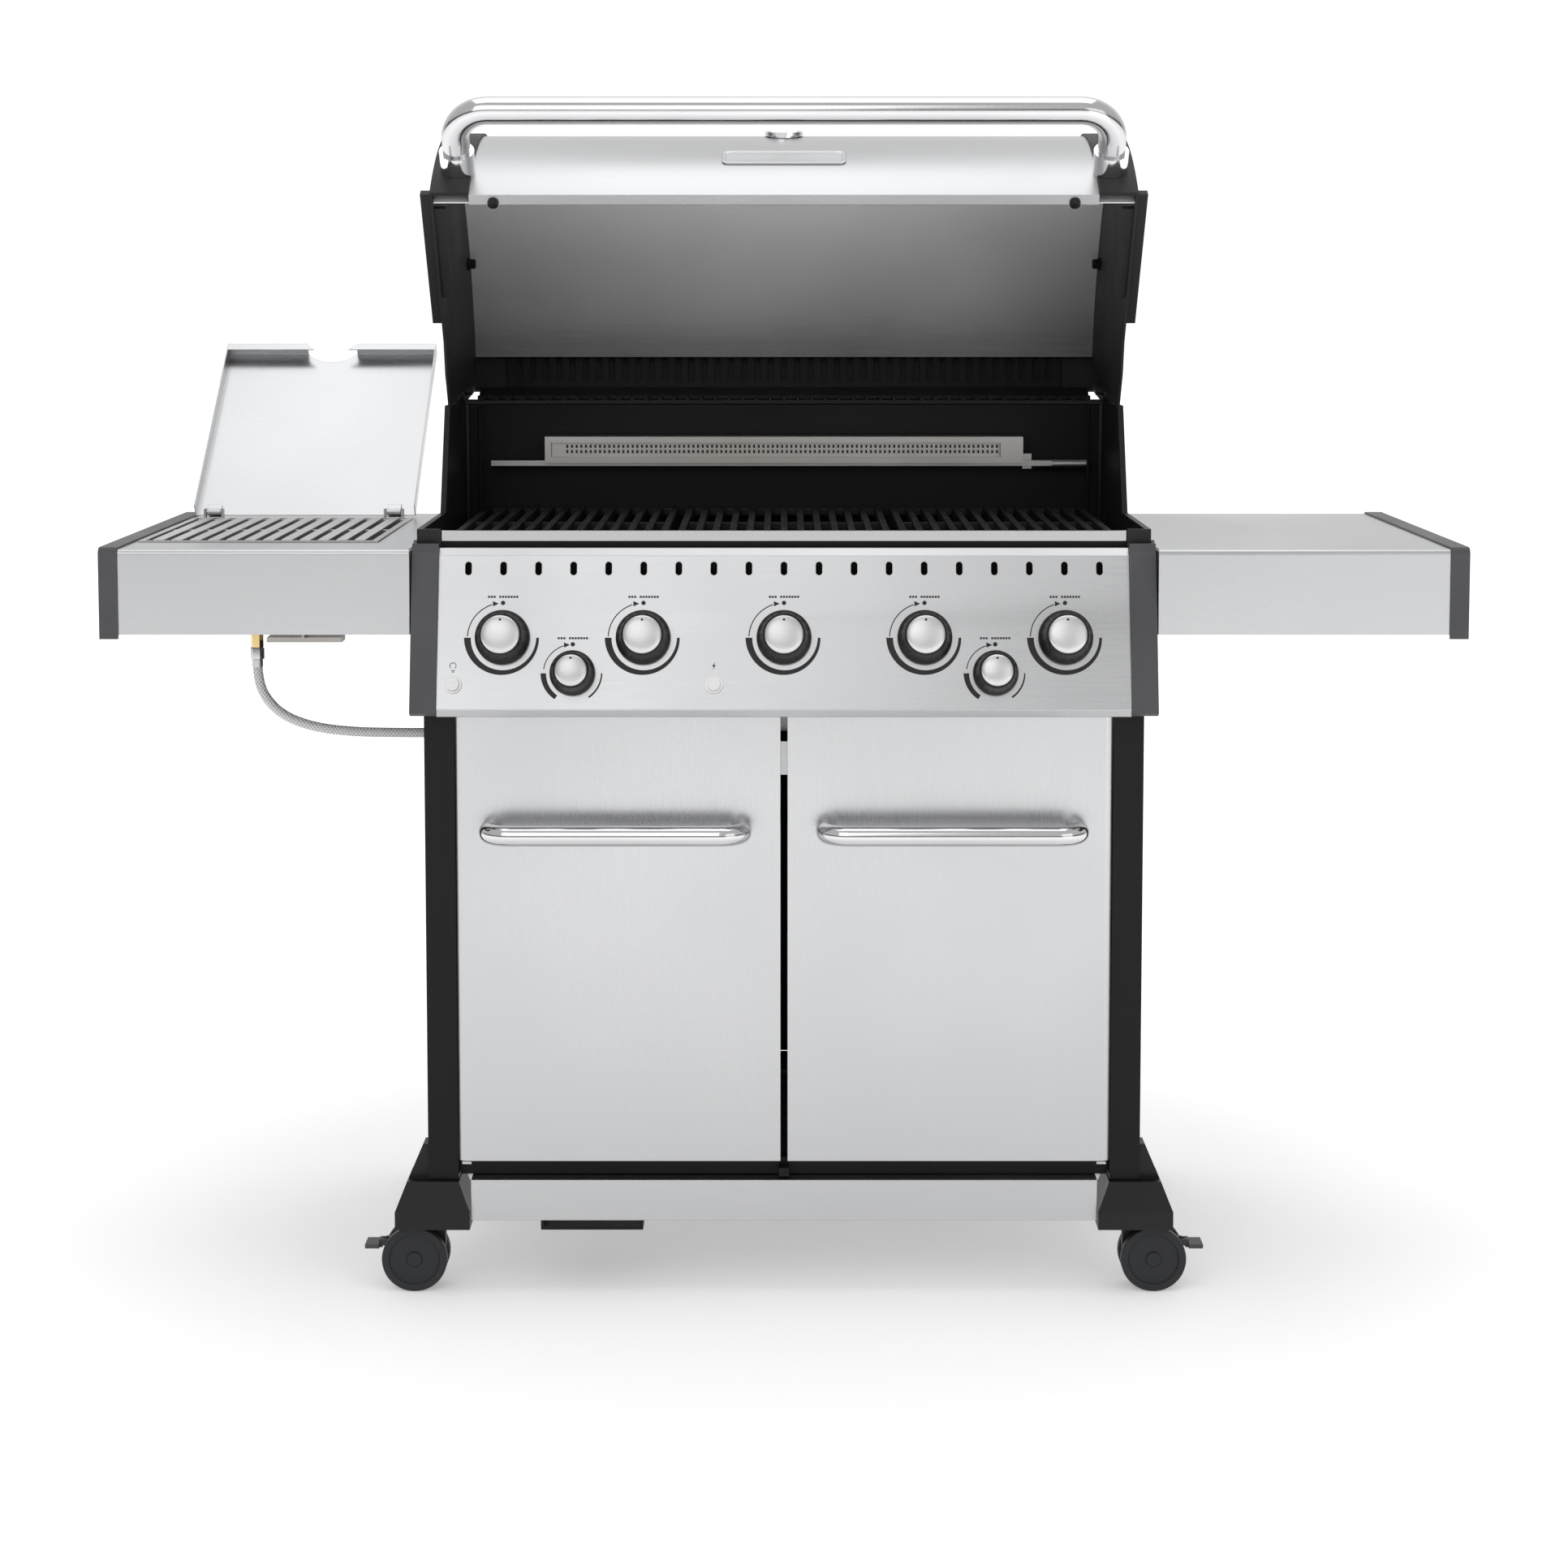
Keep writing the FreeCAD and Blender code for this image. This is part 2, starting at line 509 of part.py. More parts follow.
def make_console():
    top_y, top_z = panel_point(panel_long)
    sheet_metal = folded(
        [(D.box_front - 6, top_z + 3), (top_y + 8, top_z + 3), (top_y, top_z - 5),
         (D.panel_low_y, D.panel_low_z),
         (D.panel_low_y + 5, D.panel_low_z - 8), (D.panel_low_y + 26, D.panel_low_z - 8)],
        1.5, -D.cap_half + 31, D.cap_half - 31,
    )
    holes = []
    for number in range(-9, 10):
        x = D.slot_pitch * number
        low = D.slot_up - D.slot_tall / 2 + D.slot_wide / 2
        high = D.slot_up + D.slot_tall / 2 - D.slot_wide / 2
        holes += [panel_rod(x, low, -6, D.slot_wide, 12), panel_rod(x, high, -6, D.slot_wide, 12)]
        y, z = panel_point(low, -6)
        middle = doc.addObject("Part::Box", "Block")
        bind(middle, "Length", D.slot_wide)
        bind(middle, "Width", high - low)
        bind(middle, "Height", 12)
        place(middle, x - D.slot_wide / 2, y, z, PANEL_TURN)
        holes.append(middle)
    for turn in KNOBS.values():
        holes.append(panel_rod(D.knob_pitch * turn, D.knob_up, -10, D.stem_dia + 6, 20))
    for side in SMALL_KNOBS.values():
        holes.append(panel_rod(D.small_knob_x * side, D.small_knob_up, -10, D.stem_dia + 6, 20))
    for x in (D.igniter_x, D.light_x):
        holes.append(panel_rod(x, D.button_up, -10, D.button_dia + 0.2, 20))
    keep("control_panel", cut(sheet_metal, *holes))

    cap_outline = [(D.panel_low_y - 5, D.panel_low_z - 4), (D.panel_low_y + 2, D.cart_top_z),
                   (D.box_front + 20, D.cart_top_z),
                   (D.box_front + 20, D.panel_low_z + 180), (D.box_front - 1, D.panel_low_z + 193),
                   (top_y - 2, D.panel_low_z + 190), (top_y - 8, D.panel_low_z + 178)]
    caps = []
    for side in SIDES:
        outer = mirrored_plate(side, cap_outline, D.cap_half - 30.7, D.cap_half, {4: size(2), 5: size(2)})
        inner = mirrored_box(side, D.cap_half - 60, D.cap_half - 4, D.box_front - 8, D.box_front + 40,
                             D.cart_top_z - 5, D.rim_z)
        caps.append(cut(outer, inner))
    keep("console_caps", *caps)

    bezels = [
        cut(panel_rod(x, D.button_up, 1.7, D.button_dia + 6, 2),
            panel_rod(x, D.button_up, 1, D.button_dia + 0.3, 5))
        for x in (D.igniter_x, D.light_x)
    ]
    keep("button_bezels", *bezels)
    for name, x in (("igniter_button", D.igniter_x), ("light_button", D.light_x)):
        keep(name, panel_rod(x, D.button_up, -14, D.button_dia, 21))


def knob(label, x, up, diameter):
    """A knob of black skirt and grip under a bright face, on its stem."""
    y, z = panel_point(up)
    radius = diameter / 2
    face = radius * 0.7
    skirt = spun([(0, 2.2), (radius, 2.2), (radius, 8), (radius * 0.86, 15), (face + 1.5, D.knob_depth - 6),
                  (face, D.knob_depth - 3), (0, D.knob_depth - 3)], PANEL_TURN, x, y, z)
    cap = spun([(0, D.knob_depth - 3), (face, D.knob_depth - 3), (face - 1.5, D.knob_depth),
                (0, D.knob_depth)],
               PANEL_TURN, x, y, z)
    stem = panel_rod(x, up, -24, D.stem_dia, 27)
    keep(label, fuse(skirt, cap, stem))


def make_gas_train():
    for label, turn in KNOBS.items():
        knob(label, D.knob_pitch * turn, D.knob_up, D.knob_dia)
    for label, side in SMALL_KNOBS.items():
        knob(label, D.small_knob_x * side, D.small_knob_up, D.small_knob_dia)
    valves = []
    for x, up in [(D.knob_pitch * turn, D.knob_up) for turn in KNOBS.values()] + [
        (D.small_knob_x * side, D.small_knob_up) for side in SMALL_KNOBS.values()
    ]:
        body = panel_rod(x, up, -40, 22, 26)
        valves.append(cut(body, panel_rod(x, up, -25, D.stem_dia + 0.1, 20)))
    y, z = panel_point(62, -56)
    manifold = rod("X", -370, y, z, 22, 740)
    keep("gas_valves", *valves, manifold)


# --- cookbox: cast ends, shell, grids, burners, rear burner, warming rack ---
def make_cookbox():
    ends = []
    for side in SIDES:
        end_plate = mirrored_plate(
            side,
            [(D.box_front, D.cart_top_z), (D.box_front, D.rim_z), (D.wing_y, D.rim_z),
             (D.wing_top_y, D.wing_z),
             (D.box_back, D.wing_z), (D.box_back, D.cart_top_z)],
            D.box_half - D.end_gauge, D.box_half,
        )
        ear = rod("X", D.box_half * side - D.end_gauge * (1 + side) / 2, D.pivot_y, D.pivot_z, 44,
                  D.end_gauge)
        corner = mirrored_box(side, D.lid_half + 1, D.box_half, D.box_front - 4, D.box_front + 0.4,
                              D.rim_z - 34, D.rim_z)
        pin = rod("X", D.box_half * side - 24 * (1 + side) / 2, D.pivot_y, D.pivot_z, D.pivot_dia, 24)
        ends.append(fuse(end_plate, ear, corner, pin))
    keep("cookbox_ends", *ends)

    trough = folded(
        [(D.box_front + 3, D.rim_z - 4), (D.box_front + 3, D.box_floor_z + 90),
         (D.pivot_y - 190, D.box_floor_z + 10),
         (D.pivot_y - 130, D.box_floor_z + 10), (D.box_back - 12, D.box_floor_z + 90),
         (D.box_back - 12, D.wing_z)],
        -2, -D.shell_half, D.shell_half,
    )
    # a lip leaning back from the rear wall, to meet the raised lid
    lip = plate([(D.box_back - 12.5, D.wing_z - 8), (D.box_back - 10.5, D.wing_z - 8),
                 (D.box_back + 22, D.wing_z + 14), (D.box_back + 20, D.wing_z + 15)],
                -D.rack_half - 4, D.rack_half + 4)
    drain = rod("Z", 0, D.pivot_y - 160, D.box_floor_z - 10, 40, 40)
    trim = box(-D.lid_half, D.lid_half, D.box_front - 3, D.box_front + 0.8, D.rim_z - 14, D.rim_z - 2)
    fold = box(-D.lid_half, D.lid_half, D.box_front + 0.5, D.box_front + 5, D.rim_z - 3.5, D.rim_z - 2)
    ledges = [
        box(-D.lid_half, D.lid_half, y0, y0 + 12, D.grid_top_z - D.bar_tall - 3,
            D.grid_top_z - D.bar_tall - 0.5)
        for y0 in (D.box_front + 2, D.box_back - 25)
    ]
    keep("cookbox_shell", fuse(cut(trough, drain), lip, *ledges))
    keep("cookbox_trim", fuse(trim, fold))

    grids = []
    bars_each = 13
    for section in (-1, 0, 1):
        middle = D.bar_pitch * bars_each * section
        bars = [
            box(middle + D.bar_pitch * n - D.bar_wide / 2, middle + D.bar_pitch * n + D.bar_wide / 2,
                D.grid_front,
                D.grid_back, D.grid_top_z - D.bar_tall, D.grid_top_z)
            for n in range(-6, 7)
        ]
        ties = [
            box(middle - D.bar_pitch * 6, middle + D.bar_pitch * 6, y, y + 8, D.grid_top_z - D.bar_tall,
                D.grid_top_z - 3)
            for y in (D.grid_front, (D.grid_front + D.grid_back) / 2 - 4, D.grid_back - 8)
        ]
        grids.append(fuse(*bars, *ties))
    keep("cooking_grids", *grids)

    tents, tubes = [], []
    tent_z = D.grid_top_z - 60
    for turn in KNOBS.values():
        x = D.knob_pitch * turn
        tent = doc.addObject("Part::Extrusion", "Drawn")
        tent.Base = outline([(x - 45, tent_z), (x, tent_z + 30), (x + 45, tent_z), (x + 44, tent_z - 2),
                             (x, tent_z + 28),
                             (x - 44, tent_z - 2)], XZ_PLANE)
        tent.DirMode, tent.Dir, tent.Solid = "Custom", V(0, 1, 0), True
        bind(tent, "LengthFwd", D.grid_back - D.grid_front - 30)
        tents.append(place(tent, 0, D.grid_front + 15, 0))
        pipe = cut(rod("Y", x, D.box_front + 24, tent_z - 22, 26, 440),
                   rod("Y", x, D.box_front + 20, tent_z - 22, 23, 438))
        tubes.append(pipe)
    keep("heat_tents", *tents)
    keep("burner_tubes", *tubes)

    tray = cut(
        box(-D.tray_half, D.tray_half, 80, 470, D.tray_z - 8, D.tray_z + 18),
        box(-D.tray_half + 1.5, D.tray_half - 1.5, 81.5, 468.5, D.tray_z - 6.5, D.tray_z + 25),
    )
    pull = box(-40, 40, 470, 486, D.tray_z + 14, D.tray_z + 18)
    keep("grease_tray", fuse(tray, pull))

    wires = [rod("X", -D.rack_half, y, D.rack_z, 6, D.rack_half * 2) for y in (D.rack_front, D.rack_back)]
    wires += [rod("Y", D.rack_pitch * n, D.rack_front, D.rack_z, 3.2,
                  D.rack_back - D.rack_front) for n in range(-22, 23)]
    for side in SIDES:
        x = (D.rack_half - 2) * side
        wires += [rod("Z", x, y, D.grid_top_z - D.bar_tall - 1, 4, D.rack_z - D.grid_top_z + D.bar_tall + 1)
                  for y in (D.rack_front, D.rack_back)]
    feet = [mirrored_box(side, D.rack_half - 8, D.rack_half + 2, y - 5, y + 5, D.grid_top_z - D.bar_tall - 3,
                         D.grid_top_z - D.bar_tall) for side in SIDES for y in (D.rack_front, D.rack_back)]
    keep("warming_rack", fuse(*wires, *feet))

    y0 = D.rack_back - 2
    housing = cut(
        box(-D.rear_burner_half, D.rear_burner_half, y0 + 5, D.box_back - 14.5, D.rear_burner_z0,
            D.rear_burner_z1),
        box(-D.rear_burner_half + 8, D.rear_burner_half - 30, y0, y0 + 22, D.rear_burner_z0 + 8,
            D.rear_burner_z1 - 8),
    )
    mesh = box(-D.rear_burner_half + 8.3, D.rear_burner_half - 30.3, y0 + 12, y0 + 14,
               D.rear_burner_z0 + 8, D.rear_burner_z1 - 8)
    feed = rod("X", D.rear_burner_half, y0 + 24, D.rear_burner_z0 - 2, 12, 88)
    lug = box(D.rear_burner_half, D.rear_burner_half + 12, y0 + 16, y0 + 34, D.rear_burner_z0 - 8,
              D.rear_burner_z0 + 12)
    shield = fuse(
        box(-D.rack_half + 16, D.rear_burner_half + 39, y0 + 12, D.box_back - 14.5, D.rear_burner_z0 - 4,
            D.rear_burner_z0 - 2.5),
        box(-D.rack_half + 16, D.rear_burner_half + 39, y0 + 12, y0 + 13.5, D.rear_burner_z0 - 4,
            D.rear_burner_z0 + 3),
    )
    keep("rear_burner", housing, mesh, fuse(feed, lug), shield)


# --- lid, drawn closed and then swung open about its pivot ---
LID_TURN = FreeCAD.Rotation(V(1, 0, 0), -D.lid_open.value)


def swung(piece):
    """Turn a piece about the lid's pivot, from the closed position to the open one."""
    holder = group(piece)
    about = V(0, D.pivot_y.value, D.pivot_z.value)
    shift = about - LID_TURN.multVec(about)
    holder.Placement = FreeCAD.Placement(shift, LID_TURN)
    angle = "Dims.lid_open * 1 deg"
    y = f"Dims.pivot_y - (Dims.pivot_y * cos({angle}) + Dims.pivot_z * sin({angle}))"
    z = f"Dims.pivot_z - (Dims.pivot_z * cos({angle}) - Dims.pivot_y * sin({angle}))"
    holder.setExpression("Placement.Base.y", y)
    holder.setExpression("Placement.Base.z", z)
    return holder


def keep_lid(label, *pieces):
    keep(label, *[swung(piece) for piece in pieces])


def make_lid():
    front, brow = (D.lid_y0, D.lid_z0), (D.lid_y1, D.lid_z1)
    crown, rear = (D.lid_y2, D.lid_z2), (D.lid_y4, D.lid_z4)
    low_rear = (D.lid_y5, D.lid_z5)
    sags = {0: D.sag_front, 1: D.sag_brow, 2: D.sag_top}
    gauge_turn = FreeCAD.Rotation(V(0, 0, 1), V(0, -0.829, 0.559))
    gauge_y, gauge_z = D.lid_y1 - 6, D.lid_z1 - 11
    skin = folded([front, brow, crown, rear], 1.5, -D.skin_half, D.skin_half, sags)
    lip = box(-D.skin_half, D.skin_half, D.lid_y0 - 0.3, D.lid_y0 + 13, D.lid_z0, D.lid_z0 + 1.5)
    gauge_hole = place(rod("Z", 0, 0, 0, 36.4, 30), 0, gauge_y + 0.829 * 15, gauge_z - 0.559 * 15, gauge_turn)
    keep_lid("lid_skin", cut(fuse(skin, lip), gauge_hole))

    gap = D.liner_gap
    liner = folded(
        [(D.lid_y0 + 12, D.lid_z0 + 2), (D.lid_y1 + gap, D.lid_z1 - gap / 2),
         (D.lid_y2 + gap / 2, D.lid_z2 - gap),
         (D.lid_y4 - 4, D.lid_z4 - gap - 2)],
        1.5, -D.liner_half, D.liner_half, sags,
    )
    keep_lid("lid_liner", liner)

    back = plate([rear, low_rear, (D.lid_y5 - 4, D.lid_z5), (D.lid_y4 - 4, D.lid_z4 - 3)],
                 -D.skin_half, D.skin_half)
    slots = [
        box(D.rack_pitch * n - 4, D.rack_pitch * n + 4, D.lid_y4 - 10, D.lid_y5 + 10, D.lid_z5 + 9,
            D.lid_z5 + 36)
        for n in range(-20, 21)
    ]
    baffle = plate([(D.lid_y4 + 3, D.lid_z4 - 6), (D.lid_y5 + 2, D.lid_z5), low_rear,
                    (D.lid_y4 - 0.5, D.lid_z4 - 1)],
                   -D.skin_half, D.skin_half)
    keep_lid("lid_back_panel", fuse(cut(back, *slots), baffle))

    caps = []
    for side in SIDES:
        side_points = [front, brow, crown, rear, low_rear, (D.pivot_y + 10, D.pivot_z - 12),
                       (D.pivot_y - 12, D.pivot_z - 12),
                       (D.pivot_y - 95, D.pivot_z - 150), (D.pivot_y - 150, D.pivot_z - 150),
                       (D.pivot_y - 190, D.lid_z0)]
        cheek = mirrored_plate(side, side_points, D.cheek_in, D.cheek_out, sags)
        rim_from, rim_to = D.skin_half + 0.2, D.cheek_out
        if side < 0:
            rim_from, rim_to = -rim_to, -rim_from
        rim = folded([front, brow, crown, rear, low_rear], 5, rim_from, rim_to, sags)
        boss = rod("X", D.cheek_in * side - 6 * (1 - side) / 2, D.pivot_y, D.pivot_z, 30, 6)
        bore = rod("X", -500, D.pivot_y, D.pivot_z, D.pivot_dia + 0.1, 1000)
        wing = mirrored_plate(
            side,
            [(D.lid_y0, D.lid_z0 + 3), (D.wing_top_y0, D.lid_z0 + 14), (D.wing_top_y1, D.wing_top_z),
             (D.wing_back, D.lid_z0 + 8)],
            D.cheek_out - 1, D.wing_half,
        )
        sole = mirrored_plate(
            side,
            [(D.lid_y0 + 22, D.lid_z0 + 4), (D.lid_y0 + 22, D.lid_z0 + 10), (D.wing_back - 40, D.lid_z0 + 12),
             (D.wing_back - 40, D.lid_z0 + 7)],
            D.lid_half + 0.2, D.cheek_in + 1,
        )
        caps.append(fuse(cut(fuse(cheek, rim, boss), bore), wing, sole))
    keep_lid("lid_end_caps", *caps)

    solid, bore = [
        bow([-D.lid_handle_half, D.lid_handle_half], D.lid_handle_y, D.lid_handle_z, D.lid_y0 - 8,
            D.lid_handle_dia - wall, 40)
        for wall in (0, 4)
    ]
    keep_lid("lid_handle", cut(solid, bore))
    brackets = []
    for side in SIDES:
        x = D.lid_handle_half * side
        socket = cut(
            rod("Y", x, D.lid_y0 - 30, D.lid_handle_z, D.lid_handle_dia + 9, 36),
            rod("Y", x, D.lid_y0 - 35, D.lid_handle_z, D.lid_handle_dia + 0.4, 27.3),
        )
        lid_shape = [
            mirrored_plate(side, [(D.lid_y0 - out, D.lid_z0), (D.lid_y1 - out, D.lid_z1),
                                  (D.lid_y1 + 60, D.lid_z1),
                                  (D.lid_y1 + 60, D.lid_z0)], near, far, {0: D.sag_front})
            for out, near, far in ((1.7, 300, D.skin_half), (5.3, D.skin_half - 0.1, D.wing_half + 5))
        ]
        brackets.append(cut(socket, *lid_shape))
    keep_lid("handle_brackets", *brackets)

    case = spun([(0, -8), (18, -8), (18, 2.9), (24, 2.9), (24, 7.5), (21.5, 9.5), (21.5, 5.5), (1.65, 5.5),
                 (1.65, -4), (0, -4)],
                gauge_turn, 0, gauge_y, gauge_z)
    keep_lid("thermometer", case)
    needle = spun([(0, -3.7), (1.6, -3.7), (1.6, 6.5), (3, 6.5), (3, 7.7), (0, 7.7)], gauge_turn, 0,
                  gauge_y, gauge_z)
    pointer = doc.addObject("Part::Box", "Block")
    bind(pointer, "Length", 1.6)
    bind(pointer, "Width", 17)
    bind(pointer, "Height", 0.8)
    pointer.Placement = FreeCAD.Placement(V(-0.8, 0, 6.7), FreeCAD.Rotation())
    hand = group(pointer)
    place(hand, 0, gauge_y, gauge_z, gauge_turn)
    keep_lid("thermometer_needle", fuse(needle, hand))


# --- side shelves, with the side burner in the left one ---
def make_shelves():
    top, low, deep = D.shelf_top_z, D.shelf_low_z, D.shelf_depth
    shape = [(2, low), (2, top - 6), (8, top), (deep - 6, top), (deep, top - 6), (deep, low)]
    bends = {1: size(1.8), 3: size(1.8)}
    for name, side in (("left", -1), ("right", 1)):
        x0, x1 = (-D.shelf_out, -D.shelf_in) if side < 0 else (D.shelf_in, D.shelf_out)
        shelf = folded(shape, D.shelf_gauge, x0, x1, bends)
        if side < 0:
            opening = box(D.burner_x - D.burner_half + 2, D.burner_x + D.burner_half - 2, D.burner_front + 2,
                          D.burner_back - 2, top - 30, top + 10)
            shelf = cut(shelf, opening)
        inner_web = mirrored_box(side, D.shelf_in, D.shelf_in + 1.5, 4, deep - 2, low, top - 3)
        keep(f"shelf_{name}", fuse(shelf, inner_web))

    caps = []
    for side in SIDES:
        cap = mirrored_plate(
            side, [(0, low - 5), (0, top - 5), (8, top + 2.5), (deep - 6, top + 2.5), (deep + 2, top - 5),
                   (deep + 2, low - 5)],
            D.shelf_out + 0.2, D.overall_half, {1: size(2), 3: size(2)})
        pocket = mirrored_box(side, D.shelf_out - 5, D.overall_half - 3, 5, deep - 3, low - 10, top - 4)
        caps.append(cut(cap, pocket))
    keep("shelf_end_caps", *caps)


def make_side_burner():
    x, half = D.burner_x, D.burner_half
    front, back, top = D.burner_front, D.burner_back, D.shelf_top_z
    bowl = cut(
        box(x - half + 3, x + half - 3, front + 3, back - 3, top - 45, top - 8),
        box(x - half + 5, x + half - 5, front + 5, back - 5, top - 43, top),
    )
    rim = cut(box(x - half - 3, x + half + 3, front - 3, back + 3, top + 0.2, top + 1.7),
              box(x - half + 5, x + half - 5, front + 5, back - 5, top - 5, top + 5))
    wall = cut(box(x - half + 3, x + half - 3, front + 3, back - 3, top - 9, top + 0.7),
               box(x - half + 5, x + half - 5, front + 5, back - 5, top - 12, top + 5))
    middle = (front + back) / 2
    head = fuse(rod("Z", x, middle, top - 44, 60, 14), rod("Z", x, middle, top - 31, 84, 9))
    drop = rod("Z", x, middle, top - 60, 30, 18)
    carrier = box(x - 3, x + 89, D.hose_y - 15, D.hose_y + 15, D.carrier_z, D.carrier_z + 6)
    hanger = box(x + 40, x + 43, D.hose_y - 15, D.hose_y + 15, D.carrier_z + 3, top - 44)
    bowl_pieces = fuse(bowl, rim, wall, head, drop, carrier, hanger)

    lefts = [x + D.grate_pitch * (n - 5.5) - D.grate_bar / 2 for n in range(12)]
    bars = [box(left, left + D.grate_bar, front + 6, back - 6, D.grate_top_z - 8,
                D.grate_top_z) for left in lefts]
    ties = [box(x - half + 6, x + half - 6, y, y + 6, D.grate_top_z - 8, D.grate_top_z - 2)
            for y in (front + 6, middle - 3, back - 12)]
    foot_tall = D.grate_top_z - top + 38
    spots = [(x + dx, y) for dx in (-110, 110) for y in (front + 12, back - 12)]
    feet = [rod("Z", foot_x, foot_y, top - 43, 6, foot_tall) for foot_x, foot_y in spots]
    keep("side_burner_grate", fuse(*bars, *ties, *feet))

    y, z = D.side_pivot_y, D.side_pivot_z
    half, long, deep = D.side_lid_half, D.side_lid_long, D.side_lid_deep
    hinge_offsets = (-118, 118)
    pan = cut(
        box(x - half, x + half, y - long, y - 6.5, z - 5, z - 5 + deep),
        box(x - half + 1.2, x + half - 1.2, y - long + 1.2, y, z - 8, z - 6.2 + deep),
    )
    front_lip = box(x - half, x + half, y - long, y - long + 12, z - 5, z - 3.8)
    notch = rod("Z", x, y - long - 20, z - 8, 80, 30)
    knuckles = [rod("X", x + dx - 9, y, z, 8, 18) for dx in hinge_offsets]
    webs = [box(x + dx - 9, x + dx + 9, y - 14, y - 3, z - 1, z - 5.5 + deep) for dx in hinge_offsets]
    pin_holes = rod("X", x - 200, y, z, 4.1, 400)
    side_lid = cut(fuse(cut(fuse(pan, front_lip), notch), *knuckles, *webs), pin_holes)
    lean = 90 + D.side_lid_lean.value
    turn = FreeCAD.Rotation(V(1, 0, 0), -lean)
    about = V(0, y.value, z.value)
    holder = group(side_lid)
    holder.Placement = FreeCAD.Placement(about - turn.multVec(about), turn)
    keep("side_burner_lid", holder)

    pin = [rod("X", x + dx - 13, y, z, 4, 26) for dx in hinge_offsets]
    lugs = [box(x + dx + edge - 1.5, x + dx + edge + 1.5, y - 4, y + 4, top + 0.1, z + 4)
            for dx in hinge_offsets for edge in (-11.5, 11.5)]
    keep("side_burner_bowl", bowl_pieces, fuse(pin[0], lugs[0], lugs[1]), fuse(pin[1], lugs[2], lugs[3]))


# --- gas hose from the side burner's inlet to the cabinet ---
def make_hose():
    x, y, top_z = HOSE_ROUTE[0][0], D.hose_y, HOSE_ROUTE[0][1]
    nut = rod("Z", x, y, top_z, D.nut_dia, 16)
    fitting = fuse(nut, rod("Z", x, y, top_z + 15, D.fitting_dia, 27), rod("Z", x, y, top_z + 40, 22, 10))
    end_x, end_z = HOSE_ROUTE[-1]
    bushing = rod("X", end_x, y, end_z, 18, 12)
    nipple = rod("X", end_x + 11, y, end_z, 12, 20)
    keep("hose_fittings", fitting, fuse(bushing, nipple))
    keep("gas_hose", hose_tube(V(0, y.value, 0)))


def hose_tube(offset):
    """A tube along straight runs joined by tangent arcs, each as large as its two runs allow."""
    route = [V(x, 0, z) for x, z in HOSE_ROUTE]
    edges, start, radii = [], route[0], []
    for before, corner, after in zip(route, route[1:], route[2:]):
        into, out = (corner - before).normalize(), (after - corner).normalize()
        half_turn = into.getAngle(out) / 2
        shorter = min((corner - before).Length, (after - corner).Length)
        reach = 0.45 * shorter
        radii.append(reach / math.tan(half_turn))
        arc_start, arc_end = corner - into * reach, corner + out * reach
        bulge = (arc_start + arc_end) / 2
        middle = bulge + (corner - bulge).normalize() * radii[-1] * (1 - math.cos(half_turn))
        edges.append(Part.LineSegment(start, arc_start).toShape())
        edges.append(Part.Arc(arc_start, middle, arc_end).toShape())
        start = arc_end
    edges.append(Part.LineSegment(start, route[-1]).toShape())
    path = Part.Wire(edges)
    radius = D.hose_dia.value / 2
    section = Part.Wire([Part.makeCircle(radius, route[0], route[1] - route[0])])
    tube = path.makePipeShell([section], True, True)
    print("hose radii", [round(r) for r in radii], "length", round(path.Length, 1))
    print("hose volume", round(tube.Volume), "expected", round(path.Length * math.pi * radius ** 2))
    piece = doc.addObject("Part::Feature", "Hose")
    piece.Shape = tube
    piece.Placement = FreeCAD.Placement(offset, FreeCAD.Rotation())
    return piece


make_cart()
make_casters()
make_doors()
make_console()
make_gas_train()
make_cookbox()
make_lid()
make_shelves()
make_side_burner()
make_hose()
doc.recompute()

# No file is written unless every object was worked out and every sub-part is a sound solid.
failed = [thing.Name for thing in doc.Objects if "Invalid" in thing.State or "Error" in thing.State]
faulty = [node.Label for node in PARTS if node.Shape.isNull() or not node.Shape.isValid()]
if failed or faulty:
    raise RuntimeError(f"failed objects {failed}, faulty sub-parts {faulty}")
whole = FreeCAD.BoundBox()
for node in PARTS:
    whole.add(node.Shape.BoundBox)
print(len(PARTS), "sub-parts", whole)
os.makedirs("parts", exist_ok=True)
for node in PARTS:
    node.Shape.exportStep(f"parts/{node.Label}.step")
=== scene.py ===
import json
import math

import bpy
from mathutils import Matrix, Vector


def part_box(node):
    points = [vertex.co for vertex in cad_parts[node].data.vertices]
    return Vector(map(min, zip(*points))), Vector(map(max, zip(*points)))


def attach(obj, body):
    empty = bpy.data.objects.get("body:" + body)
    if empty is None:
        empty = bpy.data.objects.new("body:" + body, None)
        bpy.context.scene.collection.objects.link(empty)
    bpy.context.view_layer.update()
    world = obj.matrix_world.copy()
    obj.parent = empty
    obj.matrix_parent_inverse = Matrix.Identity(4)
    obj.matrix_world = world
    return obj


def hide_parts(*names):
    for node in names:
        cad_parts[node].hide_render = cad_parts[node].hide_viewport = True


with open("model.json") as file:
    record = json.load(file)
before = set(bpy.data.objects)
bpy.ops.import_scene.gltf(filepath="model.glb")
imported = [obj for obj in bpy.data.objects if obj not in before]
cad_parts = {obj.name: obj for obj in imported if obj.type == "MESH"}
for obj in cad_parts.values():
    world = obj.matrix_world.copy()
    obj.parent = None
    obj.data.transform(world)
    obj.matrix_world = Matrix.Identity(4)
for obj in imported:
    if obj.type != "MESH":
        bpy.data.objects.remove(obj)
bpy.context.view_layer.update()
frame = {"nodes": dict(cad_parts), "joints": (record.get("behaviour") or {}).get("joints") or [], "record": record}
nodes = frame["nodes"]
joints = {joint["name"]: joint for joint in frame["joints"]}
MM = 0.001


